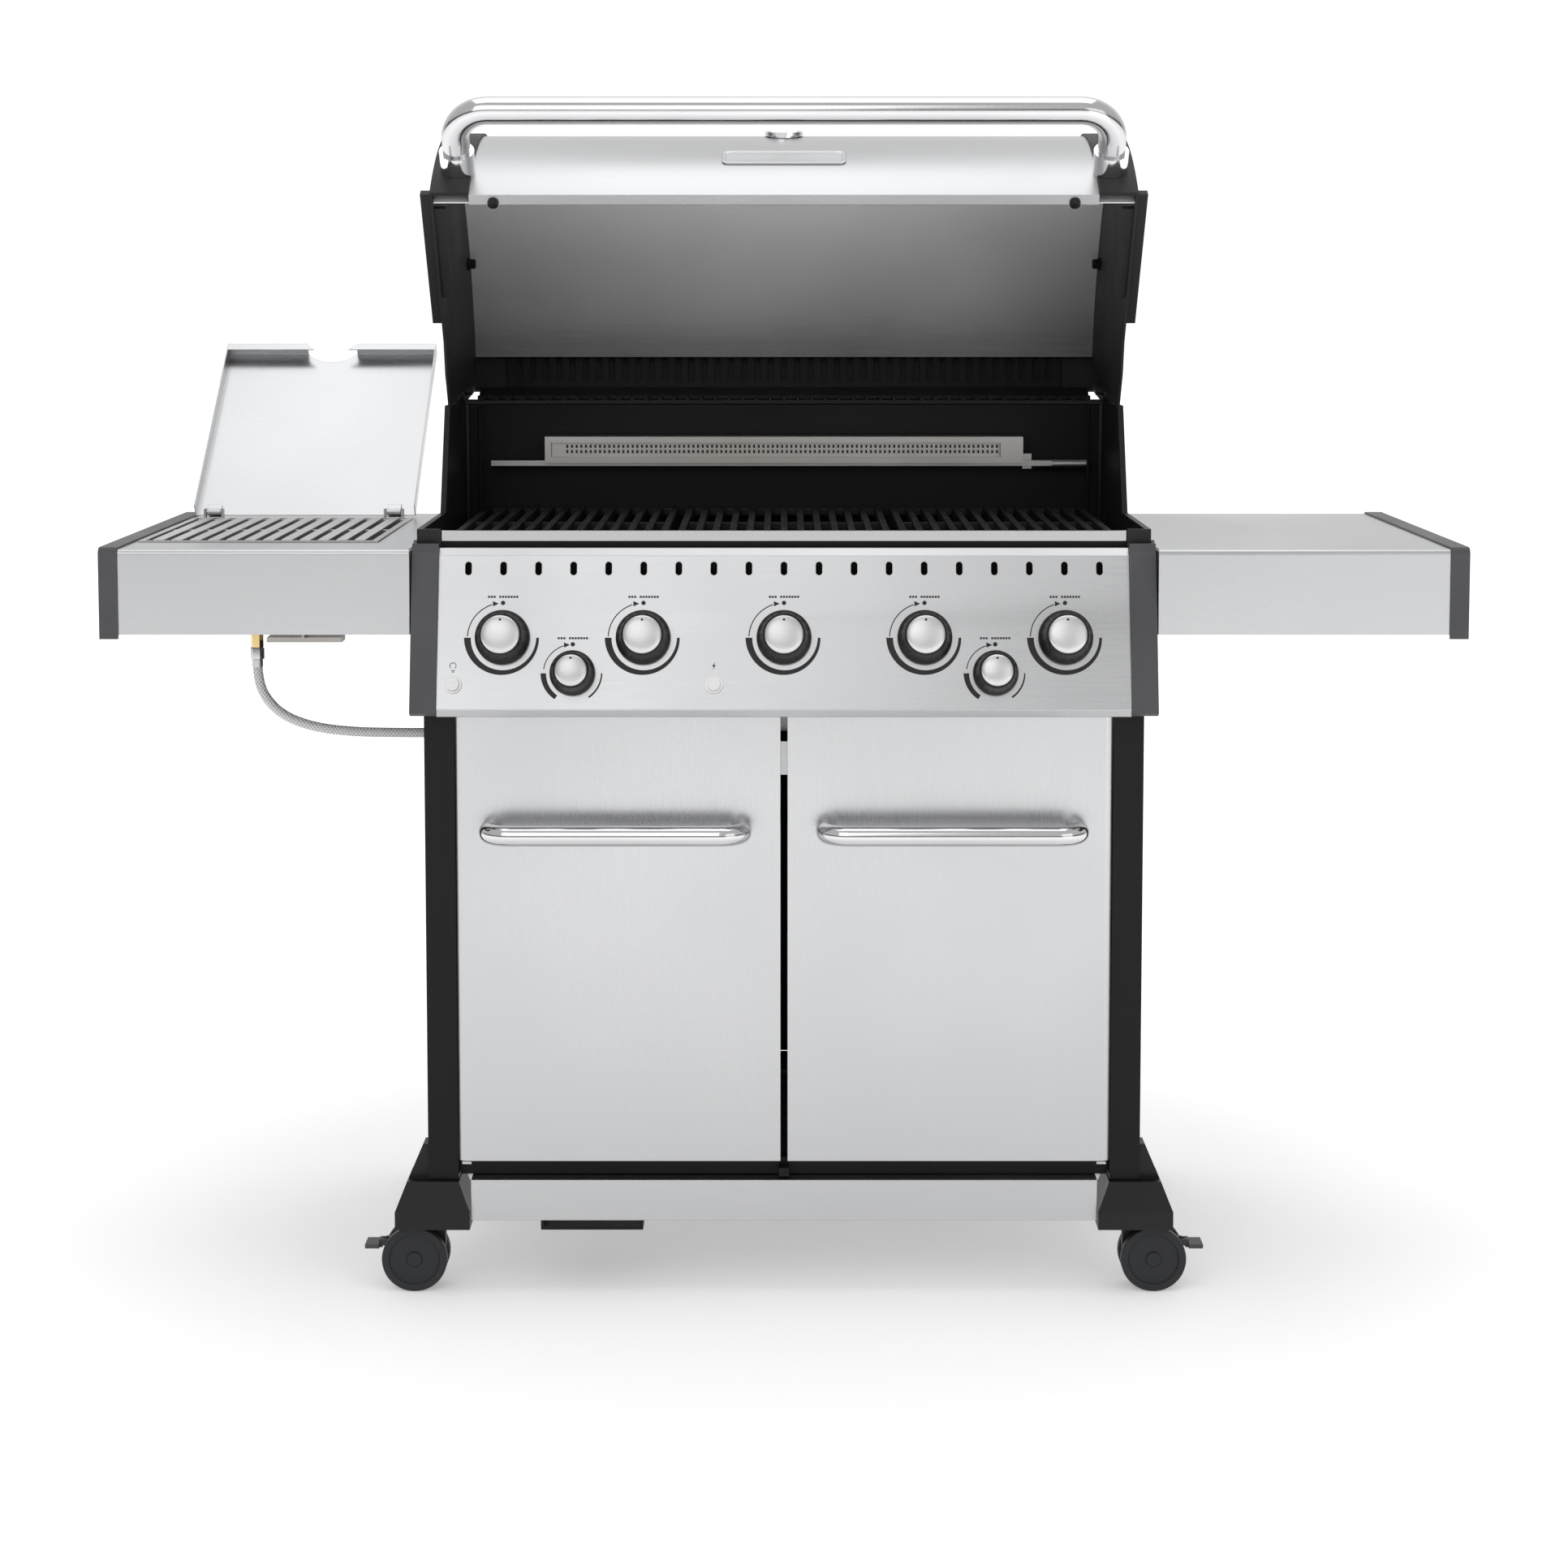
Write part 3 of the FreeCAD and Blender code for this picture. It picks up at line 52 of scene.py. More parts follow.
# ---------------------------------------------------------------- camera, light and floor
CAMERA_DISTANCE = 3.8327
EYE_HEIGHT = 1.215
LOOK_DOWN = 4.94
LENS = 69.25
FRAME_SHIFT = -0.16
FLOOR_REACH = 30.0


def make_camera():
    """Stands in front of the grill at the height of a standing person's chest."""
    data = bpy.data.cameras.new("camera")
    data.sensor_width = 36.0
    data.lens = LENS
    data.shift_y = FRAME_SHIFT
    camera = bpy.data.objects.new("camera", data)
    camera.location = (0.0, -CAMERA_DISTANCE, EYE_HEIGHT)
    camera.rotation_euler = (math.radians(90.0 - LOOK_DOWN), 0.0, 0.0)
    bpy.context.scene.collection.objects.link(camera)
    bpy.context.scene.camera = camera


def area_light(name, place, target, size, power):
    data = bpy.data.lights.new(name, "AREA")
    data.energy = power
    data.shape = "RECTANGLE"
    data.size = size
    data.size_y = size
    lamp = bpy.data.objects.new(name, data)
    lamp.location = place
    lamp.rotation_euler = (Vector(target) - Vector(place)).to_track_quat("-Z", "Y").to_euler()
    bpy.context.scene.collection.objects.link(lamp)


def make_world():
    """White to the camera; in reflections, a dark band at the horizon in front and even light behind."""
    world = bpy.data.worlds.new("studio")
    world.use_nodes = True
    tree = world.node_tree
    surround = tree.nodes["Background"]
    surround.inputs["Color"].default_value = (1.0, 1.0, 1.0, 1.0)
    coords = tree.nodes.new("ShaderNodeTexCoord")
    split = tree.nodes.new("ShaderNodeSeparateXYZ")
    tree.links.new(coords.outputs["Generated"], split.inputs[0])
    by_height = tree.nodes.new("ShaderNodeValToRGB")
    ramp = by_height.color_ramp
    ramp.elements[0].position, ramp.elements[0].color = 0.47, (0.55, 0.55, 0.55, 1)
    ramp.elements[1].position, ramp.elements[1].color = 0.66, (0.62, 0.62, 0.62, 1)
    for place, level in ((0.50, 0.10), (0.545, 0.12), (0.60, 0.55)):
        ramp.elements.new(place).color = (level, level, level, 1)
    halved = tree.nodes.new("ShaderNodeMapRange")
    halved.inputs["From Min"].default_value = -1.0
    tree.links.new(split.outputs["Z"], halved.inputs["Value"])
    tree.links.new(halved.outputs["Result"], by_height.inputs["Fac"])
    to_back = tree.nodes.new("ShaderNodeMapRange")
    to_back.inputs["From Min"].default_value = 0.15
    to_back.inputs["From Max"].default_value = 0.75
    tree.links.new(split.outputs["Y"], to_back.inputs["Value"])
    blend = tree.nodes.new("ShaderNodeMix")
    tree.links.new(to_back.outputs["Result"], blend.inputs["Factor"])
    tree.links.new(by_height.outputs["Color"], blend.inputs["A"])
    blend.inputs["B"].default_value = 0.85
    tree.links.new(blend.outputs["Result"], surround.inputs["Strength"])
    backdrop = tree.nodes.new("ShaderNodeBackground")
    backdrop.inputs["Color"].default_value = (1.0, 1.0, 1.0, 1.0)
    backdrop.inputs["Strength"].default_value = 1.02
    rays = tree.nodes.new("ShaderNodeLightPath")
    either = tree.nodes.new("ShaderNodeMixShader")
    tree.links.new(rays.outputs["Is Camera Ray"], either.inputs["Fac"])
    tree.links.new(surround.outputs[0], either.inputs[1])
    tree.links.new(backdrop.outputs[0], either.inputs[2])
    tree.links.new(either.outputs[0], tree.nodes["World Output"].inputs["Surface"])
    bpy.context.scene.world = world


def make_studio():
    """White surroundings, broad soft lights from the front and above, and a floor that fades to white."""
    scene = bpy.context.scene
    scene.view_settings.view_transform = "Standard"
    make_world()
    area_light("key", (-1.2, -4.6, 3.2), (0, 0, 0.8), 3.2, 38)
    area_light("fill", (2.6, -3.6, 1.6), (0, 0, 0.7), 2.6, 15)
    area_light("top", (0, 0.2, 4.4), (0, 0, 0.9), 3.6, 46)
    mesh = bpy.data.meshes.new("floor")
    corners = [(x * FLOOR_REACH, y * FLOOR_REACH, 0) for x, y in ((-1, -1), (1, -1), (1, 1), (-1, 1))]
    mesh.from_pydata(corners, [], [(0, 1, 2, 3)])
    floor = bpy.data.objects.new("floor", mesh)
    scene.collection.objects.link(floor)
    floor.data.materials.append(floor_white())


def floor_white():
    """Matt white that glows a little, and more with distance, so that the floor has no horizon."""
    mat = bpy.data.materials.new("studio_floor")
    mat.use_nodes = True
    tree = mat.node_tree
    shader = tree.nodes["Principled BSDF"]
    shader.inputs["Base Color"].default_value = (0.92, 0.92, 0.92, 1)
    shader.inputs["Roughness"].default_value = 0.9
    shader.inputs["Specular IOR Level"].default_value = 0.1
    shader.inputs["Emission Color"].default_value = (1, 1, 1, 1)
    coords = tree.nodes.new("ShaderNodeTexCoord")
    reach = tree.nodes.new("ShaderNodeVectorMath")
    reach.operation = "LENGTH"
    tree.links.new(coords.outputs["Object"], reach.inputs[0])
    remap = tree.nodes.new("ShaderNodeMapRange")
    for name, number in (("From Min", 0.7), ("From Max", 3.0), ("To Min", 0.28), ("To Max", 0.66)):
        remap.inputs[name].default_value = number
    tree.links.new(reach.outputs["Value"], remap.inputs["Value"])
    tree.links.new(remap.outputs["Result"], shader.inputs["Emission Strength"])
    return mat


# ---------------------------------------------------------------- materials
class Surface:
    """A Principled material whose colour, roughness and bump are built from noise in object space."""

    def __init__(self, name, metallic=0.0, roughness=0.4, coat=0.0, specular=0.5, anisotropic=0.0):
        self.material = bpy.data.materials.new(name)
        self.material.use_nodes = True
        self.tree = self.material.node_tree
        self.shader = self.tree.nodes["Principled BSDF"]
        self.shader.inputs["Metallic"].default_value = metallic
        self.shader.inputs["Roughness"].default_value = roughness
        self.shader.inputs["Coat Weight"].default_value = coat
        self.shader.inputs["Specular IOR Level"].default_value = specular
        self.shader.inputs["Anisotropic"].default_value = anisotropic
        self.coords = self.node("ShaderNodeTexCoord").outputs["Object"]

    def node(self, kind, **settings):
        made = self.tree.nodes.new(kind)
        for key, value in settings.items():
            setattr(made, key, value)
        return made

    def link(self, start, end):
        self.tree.links.new(start, end)

    def noise(self, scale, stretch=(1, 1, 1), detail=3.0, rough=0.5):
        mapping = self.node("ShaderNodeMapping")
        mapping.inputs["Scale"].default_value = stretch
        self.link(self.coords, mapping.inputs["Vector"])
        noise = self.node("ShaderNodeTexNoise")
        noise.inputs["Scale"].default_value = scale
        noise.inputs["Detail"].default_value = detail
        noise.inputs["Roughness"].default_value = rough
        self.link(mapping.outputs["Vector"], noise.inputs["Vector"])
        return noise.outputs["Fac"]

    def spread(self, value, low, high, start=0.3, end=0.7):
        """Map a noise value to a range of numbers."""
        remap = self.node("ShaderNodeMapRange")
        for name, number in (("From Min", start), ("From Max", end), ("To Min", low), ("To Max", high)):
            remap.inputs[name].default_value = number
        self.link(value, remap.inputs["Value"])
        return remap.outputs["Result"]

    def blend(self, factor, first, second):
        mix = self.node("ShaderNodeMix", data_type="RGBA")
        for socket, value in ((mix.inputs[6], first), (mix.inputs[7], second)):
            if isinstance(value, tuple):
                socket.default_value = (*value, 1)
            else:
                self.link(value, socket)
        self.link(factor, mix.inputs[0])
        return mix.outputs[2]

    def add(self, first, second, operation="ADD"):
        maths = self.node("ShaderNodeMath", operation=operation)
        self.link(first, maths.inputs[0])
        if isinstance(second, float):
            maths.inputs[1].default_value = second
        else:
            self.link(second, maths.inputs[1])
        return maths.outputs[0]

    def edges(self, radius):
        """1 on edges and 0 on flats, from how far a bevelled normal leans from the surface's own."""
        bevel = self.node("ShaderNodeBevel", samples=4)
        bevel.inputs["Radius"].default_value = radius
        own = self.node("ShaderNodeNewGeometry")
        dot = self.node("ShaderNodeVectorMath", operation="DOT_PRODUCT")
        self.link(bevel.outputs["Normal"], dot.inputs[0])
        self.link(own.outputs["Normal"], dot.inputs[1])
        return self.spread(dot.outputs["Value"], 1.0, 0.0, 0.75, 0.98), bevel.outputs["Normal"]

    def color(self, value):
        self.link(value, self.shader.inputs["Base Color"])

    def rough(self, value):
        self.link(value, self.shader.inputs["Roughness"])

    def bump(self, height, strength, distance=0.0004, normal=None):
        bump = self.node("ShaderNodeBump")
        bump.inputs["Strength"].default_value = strength
        bump.inputs["Distance"].default_value = distance
        self.link(height, bump.inputs["Height"])
        if normal is not None:
            self.link(normal, bump.inputs["Normal"])
        self.link(bump.outputs["Normal"], self.shader.inputs["Normal"])


def brushed(name, light, dark, roughness, grain=(4, 420, 420), smudge=0.06):
    """Brushed stainless sheet: fine streaks along the grain, soft smudges and brighter worn edges."""
    s = Surface(name, metallic=1.0, roughness=roughness, anisotropic=0.35)
    streaks = s.noise(4.0, grain, 4.0, 0.65)
    clouds = s.noise(2.2, (1, 1, 1), 3.0)
    tone = s.blend(s.spread(streaks, 0.0, 1.0), dark, light)
    worn, normal = s.edges(0.0012)
    s.color(s.blend(worn, tone, tuple(min(1.0, c * 1.12) for c in light)))
    fine = s.spread(streaks, roughness - 0.03, roughness + 0.05)
    s.rough(s.add(fine, s.spread(clouds, -smudge, smudge)))
    s.bump(streaks, 0.05, 0.0001, normal)
    return s.material


def painted(name, base, edge, roughness, grain=900.0, bump=0.15, coat=0.0, metallic=0.0, specular=0.2):
    """Sprayed or powder paint: fine orange peel, faint dust tone and rubbed edges."""
    s = Surface(name, metallic=metallic, roughness=roughness, coat=coat, specular=specular)
    peel = s.noise(grain, detail=2.0)
    clouds = s.noise(6.0, detail=4.0)
    worn, normal = s.edges(0.001)
    dusty = tuple(min(1.0, c * 1.3 + 0.001) for c in base)
    tone = s.blend(s.spread(clouds, 0.0, 1.0), base, dusty)
    s.color(s.blend(s.add(worn, s.spread(clouds, 0.25, 0.8), "MULTIPLY"), tone, edge))
    s.rough(s.add(s.spread(clouds, roughness - 0.06, roughness + 0.08), s.spread(peel, -0.02, 0.02)))
    s.bump(peel, bump, 0.0002, normal)
    return s.material


def cast_iron(name, base, edge):
    s = Surface(name, metallic=0.35, roughness=0.55)
    grit = s.noise(700.0, detail=5.0, rough=0.7)
    patches = s.noise(14.0, detail=5.0)
    worn, normal = s.edges(0.0018)
    tone = s.blend(s.spread(patches, 0.0, 1.0), base, tuple(c * 1.9 for c in base))
    s.color(s.blend(s.add(worn, s.spread(grit, 0.3, 1.0), "MULTIPLY"), tone, edge))
    s.rough(s.spread(patches, 0.42, 0.68))
    s.bump(grit, 0.45, 0.0004, normal)
    return s.material


def polished(name, base, roughness):
    """Chrome or bright tube: nearly mirror smooth, with faint haze and hairline wipes."""
    s = Surface(name, metallic=1.0, roughness=roughness)
    wipes = s.noise(9.0, (40, 6, 40), 3.0, 0.6)
    haze = s.noise(5.0, detail=3.0)
    s.color(s.blend(s.spread(haze, 0.0, 1.0), base, tuple(c * 0.94 for c in base)))
    s.rough(s.add(s.spread(wipes, roughness - 0.03, roughness + 0.04), s.spread(haze, -0.01, 0.03)))
    s.bump(wipes, 0.03, 0.0001)
    return s.material


def plastic(name, base, roughness, grain=1400.0, specular=0.3):
    s = Surface(name, roughness=roughness, specular=specular)
    leather = s.noise(grain, detail=3.0)
    clouds = s.noise(8.0, detail=3.0)
    worn, normal = s.edges(0.0012)
    tone = s.blend(s.spread(clouds, 0.0, 1.0), base, tuple(c * 1.25 + 0.002 for c in base))
    s.color(s.blend(s.add(worn, 0.35, "MULTIPLY"), tone, tuple(min(1.0, c * 2.4 + 0.03) for c in base)))
    s.rough(s.add(s.spread(clouds, roughness - 0.04, roughness + 0.05), s.spread(leather, -0.03, 0.03)))
    s.bump(leather, 0.2, 0.00015, normal)
    return s.material


def satin(name, light, dark, low_z, high_z):
    """Dulled sheet inside the lid: painted shade, pale at the top and darker towards the bottom by height, with
    soft cloudy soot over it.
    """
    s = Surface(name, metallic=0.25, roughness=0.5)
    streaks = s.noise(4.0, (3, 240, 240), 4.0, 0.6)
    clouds = s.noise(3.0, detail=4.0)
    split = s.node("ShaderNodeSeparateXYZ")
    s.link(s.coords, split.inputs[0])
    # painted shade: the colour runs from light at the top to dark at the bottom by height, standing in for how
    # light falls inside the lid
    height = s.spread(split.outputs["Z"], 0.0, 1.0, low_z, high_z)
    shade_and_soot = s.add(height, s.spread(clouds, -0.12, 0.12))
    tone = s.blend(s.spread(shade_and_soot, 0.0, 1.0, 0.0, 1.0), dark, light)
    s.color(s.blend(s.spread(streaks, 0.0, 0.18), tone, tuple(c * 0.7 for c in light)))
    s.rough(s.add(s.spread(streaks, 0.44, 0.54), s.spread(clouds, -0.03, 0.06)))
    s.bump(streaks, 0.10, 0.00012)
    return s.material


def heat_stained(name, pale, straw, blue):
    """Stainless near the flames: straw and blue heat tint in broad clouds over a brushed grain."""
    s = Surface(name, metallic=1.0, roughness=0.36)
    streaks = s.noise(4.0, (3, 220, 220), 4.0, 0.6)
    clouds = s.noise(3.5, detail=4.0)
    spots = s.noise(11.0, detail=4.0)
    tone = s.blend(s.spread(clouds, 0.0, 1.0, 0.4, 0.75), pale, straw)
    s.color(s.blend(s.spread(spots, 0.0, 0.6, 0.55, 0.8), tone, blue))
    s.rough(s.add(s.spread(streaks, 0.3, 0.42), s.spread(clouds, -0.04, 0.08)))
    s.bump(streaks, 0.12, 0.00015)
    return s.material


def braided(name, light, dark):
    """Woven hose cover: two crossing sets of strands along the hose."""
    s = Surface(name, roughness=0.5, specular=0.6)
    heights = []
    for direction in (1, -1):
        mapping = s.node("ShaderNodeMapping")
        mapping.inputs["Rotation"].default_value = (0, direction * math.radians(38), 0)
        s.link(s.coords, mapping.inputs["Vector"])
        wave = s.node("ShaderNodeTexWave", wave_type="BANDS", bands_direction="X")
        wave.inputs["Scale"].default_value = 95.0
        wave.inputs["Distortion"].default_value = 0.4
        s.link(mapping.outputs["Vector"], wave.inputs["Vector"])
        heights.append(wave.outputs["Fac"])
    weave = s.add(heights[0], heights[1], "MAXIMUM")
    fluff = s.noise(600.0, detail=2.0)
    s.color(s.blend(s.spread(weave, 0.0, 1.0, 0.25, 0.95), dark, light))
    s.rough(s.spread(fluff, 0.4, 0.62))
    s.bump(weave, 0.6, 0.0008)
    return s.material


# height band of the liner's painted shade: dark below the first level, pale above the second
SHADED_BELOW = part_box("lid_liner")[0].z + 0.02
PALE_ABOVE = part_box("lid_liner")[0].z + 0.20


def make_materials():
    steel, steel_dark = (0.54, 0.544, 0.55), (0.515, 0.519, 0.527)
    return {
        "stainless": brushed("brushed_stainless", steel, steel_dark, 0.30),
        "stainless_upright": brushed("brushed_stainless_upright", steel, steel_dark, 0.30, (420, 420, 4)),
        # the liner carries painted shade: light at the top, dark at the bottom
        "satin_liner": satin("satin_liner", (0.86, 0.86, 0.86), (0.20, 0.20, 0.20), SHADED_BELOW, PALE_ABOVE),
        "knob_face": polished("knob_face", (0.64, 0.64, 0.645), 0.36),
        "stainless_inner": heat_stained(
            "heat_dulled_stainless", (0.50, 0.50, 0.50), (0.47, 0.44, 0.40), (0.38, 0.385, 0.40)),
        "black_enamel": painted("black_enamel", (0.005, 0.005, 0.0055), (0.03, 0.03, 0.03), 0.45),
        "dark_casting": painted("dark_casting", (0.016, 0.016, 0.017), (0.07, 0.07, 0.07), 0.45, 500.0, 0.3),
        "cast_iron": cast_iron("seasoned_cast_iron", (0.012, 0.012, 0.0125), (0.07, 0.068, 0.065)),
        "chrome": polished("polished_chrome", (0.86, 0.86, 0.87), 0.10),
        "handle_steel": polished("polished_tube", (0.66, 0.66, 0.67), 0.12),
        "black_plastic": plastic("black_plastic", (0.007, 0.007, 0.0075), 0.40),
        "grey_plastic": plastic("grey_plastic", (0.058, 0.059, 0.063), 0.42),
        "caster_rubber": plastic("caster_rubber", (0.020, 0.021, 0.023), 0.5, 500.0),
        "brass": polished("machined_brass", (0.62, 0.47, 0.22), 0.24),
        "hose_braid": braided("braided_cover", (0.74, 0.74, 0.75), (0.34, 0.34, 0.35)),
        "zinc": brushed("zinc_plate", (0.62, 0.62, 0.62), (0.52, 0.52, 0.53), 0.36, (40, 40, 40)),
        # print on the panel and knobs, and also painted shade: the dark screw slots, button notches and burner
        # ports laid on as flat marks
        "ink_and_shade": plastic("printed_ink_and_painted_shade", (0.014, 0.014, 0.016), 0.45),
    }


materials = make_materials()
node_slots = {part["node"]: part["material_slot"] for part in frame["record"]["subparts"]}
# CAD nodes whose look differs from their record's slot: doors with upright grain, dulled liner with painted shade
# by height, satin buttons
OWN_LOOK = {
    "door_left": "stainless_upright", "door_right": "stainless_upright", "lid_liner": "satin_liner",
    "igniter_button": "knob_face", "light_button": "knob_face", "button_bezels": "knob_face",
}
# edge rounding in millimetres
ROUNDED = {
    "console_caps": 4.0, "shelf_end_caps": 5.0, "leg_feet": 2.5, "cookbox_ends": 1.6, "lid_end_caps": 2.0,
}


def dress_cad_nodes():
    for name, node in nodes.items():
        slot = OWN_LOOK.get(name, node_slots[name])
        node.data.materials.clear()
        node.data.materials.append(materials[slot])
        if name in ROUNDED:
            soften(node, ROUNDED[name] * MM)


# ---------------------------------------------------------------- mesh helpers
def add_piece(name, verts, faces, slot, body, smooth=True, angle=35):
    mesh = bpy.data.meshes.new(name)
    mesh.from_pydata([tuple(v) for v in verts], [], faces)
    mesh.validate()
    mesh.update()
    if smooth:
        mesh.shade_smooth()
        mesh.set_sharp_from_angle(angle=math.radians(angle))
    piece = bpy.data.objects.new(name, mesh)
    bpy.context.scene.collection.objects.link(piece)
    piece.data.materials.append(materials[slot])
    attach(piece, body)
    return piece


def axes_frame(origin, axis, up=(0, 0, 1)):
    """A matrix whose Z is the axis and whose Y is as near to up as it can be."""
    z = Vector(axis).normalized()
    y = Vector(up) - z * Vector(up).dot(z)
    y.normalize()
    x = y.cross(z)
    return Matrix.Translation(Vector(origin)) @ Matrix((x, y, z)).transposed().to_4x4()


def lathe(profile, segments=48):
    """Vertices and faces of a profile of (radius, height) turned about Z; a radius of 0 is a pole."""
    verts, faces, rings = [], [], []
    for radius, height in profile:
        if radius == 0:
            rings.append([len(verts)] * segments)
            verts.append(Vector((0, 0, height)))
        else:
            rings.append(list(range(len(verts), len(verts) + segments)))
            for k in range(segments):
                turn = 2 * math.pi * k / segments
                verts.append(Vector((radius * math.cos(turn), radius * math.sin(turn), height)))
    for low, high in zip(rings, rings[1:]):
        for k in range(segments):
            n = (k + 1) % segments
            corner = [low[k], low[n], high[n], high[k]]
            face = [v for i, v in enumerate(corner) if v not in corner[:i]]
            if len(face) > 2:
                faces.append(face)
    return verts, faces


def moved(matrix, verts):
    return [matrix @ v for v in verts]


def merged(*parts):
    """Join several (verts, faces) pairs into one."""
    verts, faces = [], []
    for more_verts, more_faces in parts:
        offset = len(verts)
        verts += list(more_verts)
        faces += [[v + offset for v in face] for face in more_faces]
    return verts, faces


def arc_band(radius_from, radius_to, width_from, width_to, start, end, height, steps=40):
    """A raised printed band along an arc, from one angle to another (degrees, counter-clockwise from +X)."""
    verts, faces = [], []
    for k in range(steps + 1):
        t = k / steps
        turn = math.radians(start + (end - start) * t)
        radius = radius_from + (radius_to - radius_from) * t
        half = (width_from + (width_to - width_from) * t) / 2
        corners = ((radius - half, 0), (radius + half, 0), (radius + half, height), (radius - half, height))
        for r, z in corners:
            verts.append(Vector((r * math.cos(turn), r * math.sin(turn), z)))
    for k in range(steps):
        a, b = 4 * k, 4 * (k + 1)
        for i in range(4):
            j = (i + 1) % 4
            faces.append([a + i, a + j, b + j, b + i])
    last = 4 * steps
    faces += [[0, 1, 2, 3], [last + 3, last + 2, last + 1, last]]
    return verts, faces


def slab(x0, x1, y0, y1, z0, z1):
    verts = [Vector((x, y, z)) for z in (z0, z1) for x, y in ((x0, y0), (x1, y0), (x1, y1), (x0, y1))]
    faces = [[3, 2, 1, 0], [4, 5, 6, 7], [0, 1, 5, 4], [1, 2, 6, 5], [2, 3, 7, 6], [3, 0, 4, 7]]
    return verts, faces


def soften(piece, width, segments=2):
    bevel = piece.modifiers.new("bevel", "BEVEL")
    bevel.width = width
    bevel.segments = segments
    bevel.limit_method = "ANGLE"
    bevel.angle_limit = math.radians(35)
    bevel.harden_normals = True


# ---------------------------------------------------------------- gas hose
HOSE_ROUTE = [(-0.647, 0.741), (-0.647, 0.716), (-0.636, 0.690), (-0.613, 0.6695), (-0.5776, 0.657),
              (-0.5339, 0.6516), (-0.4839, 0.6503), (-0.436, 0.6503)]
HOSE_Y = 0.180 - 0.3327
HOSE_DIAMETER = 0.012


def make_hose():
    curve = bpy.data.curves.new("gas_hose_braided", "CURVE")
    curve.dimensions = "3D"
    spline = curve.splines.new("NURBS")
    spline.points.add(len(HOSE_ROUTE) - 1)
    for point, (x, z) in zip(spline.points, HOSE_ROUTE):
        point.co = (x, HOSE_Y, z, 1.0)
    spline.order_u = 3
    spline.use_endpoint_u = True
    spline.resolution_u = 12
    curve.bevel_depth = HOSE_DIAMETER / 2
    curve.bevel_resolution = 8
    curve.use_fill_caps = True
    hose = bpy.data.objects.new("gas_hose_braided", curve)
    bpy.context.scene.collection.objects.link(hose)
    curve.materials.append(materials["hose_braid"])
    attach(hose, "cart")
    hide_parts("gas_hose")
    x, z = HOSE_ROUTE[0]


# ---------------------------------------------------------------- knobs, dials and buttons
LARGE_KNOBS = [f"knob_burner_{n}" for n in range(1, 6)]
SMALL_KNOBS = ["knob_side_burner", "knob_rear_burner"]


def knob_radius(name):
    low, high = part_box(name)
    return (high.x - low.x) / 2


def make_knob(name):
    joint = joints[name + "_turn"]
    place = axes_frame(joint["pos_m"], joint["axis"])
    radius = knob_radius(name)
    depth = 38 * MM
    face = radius * 0.70
    skirt = [
        (radius * 0.80, 2.2 * MM), (radius, 2.4 * MM), (radius, 6.5 * MM), (radius * 0.985, 8.0 * MM),
        (radius * 0.93, 10.5 * MM), (radius * 0.885, 14 * MM), (radius * 0.84, 20 * MM),
        (radius * 0.80, 27 * MM), (face + 2.6 * MM, depth - 6 * MM), (face + 1.7 * MM, depth - 4.6 * MM),
        (face + 0.6 * MM, depth - 4.2 * MM), (face + 0.4 * MM, depth - 6.2 * MM), (0, depth - 6.2 * MM),
    ]
    verts, faces = lathe(skirt, 72)
    for v in verts:                                  # shallow finger flutes round the waist
        r = math.hypot(v.x, v.y)
        if 9 * MM < v.z < 30 * MM and r > face:
            dip = 1 - 0.016 * (1 + math.cos(math.atan2(v.y, v.x) * 18))
            v.x, v.y = v.x * dip, v.y * dip
    grip = add_piece(name + "_grip", moved(place, verts), faces, "black_plastic", name)
    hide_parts(name)
    dome = [
        (face + 0.3 * MM, depth - 6.0 * MM), (face + 0.3 * MM, depth - 4.6 * MM),
        (face - 0.4 * MM, depth - 3.6 * MM), (face * 0.90, depth - 2.6 * MM),
        (face * 0.75, depth - 1.7 * MM), (face * 0.5, depth - 0.8 * MM),
        (face * 0.25, depth - 0.35 * MM), (0, depth - 0.2 * MM),
    ]
    verts, faces = lathe(dome, 72)
    add_piece(name + "_face", moved(place, verts), faces, "knob_face", name, angle=60)
    dot = 1.5 * MM
    mark = lathe([
        (0, depth - 3.6 * MM), (dot, depth - 3.6 * MM), (dot, depth - 1.5 * MM), (0, depth - 1.45 * MM),
    ], 20)
    up = Matrix.Translation((0, face * 0.74, 0))
    add_piece(name + "_mark", moved(place @ up, mark[0]), mark[1], "ink_and_shade", name)
    inner, outer = radius * 0.78, radius * 0.93
    collar = lathe([(inner, 0.9 * MM), (outer, 0.9 * MM), (outer, 1.9 * MM), (inner, 2.1 * MM)], 64)
    add_piece(name + "_bezel", moved(place, collar[0]), collar[1], "chrome", "cart")


def panel_frame():
    """Normal of the control panel's broad face and its distance along that normal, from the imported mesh."""
    mesh = nodes["control_panel"].data
    lean = Vector(joints["knob_burner_3_turn"]["axis"]).normalized()
    normal = Vector()
    faces = [face for face in mesh.polygons if face.normal.dot(lean) > 0.995]
    for face in faces:
        normal += face.normal * face.area
    normal.normalize()
    outermost = max(normal.dot(face.center) for face in faces)
    return normal, outermost


PANEL_NORMAL, PANEL_REACH = panel_frame()
INK_LIFT = 0.12 * MM


def on_panel(x, spot):
    """A frame lying on the control panel's face, at the place straight under the spot given."""
    spot = Vector(spot)
    spot.x = x
    foot = spot + PANEL_NORMAL * (PANEL_REACH - PANEL_NORMAL.dot(spot))
    return axes_frame(foot, PANEL_NORMAL)


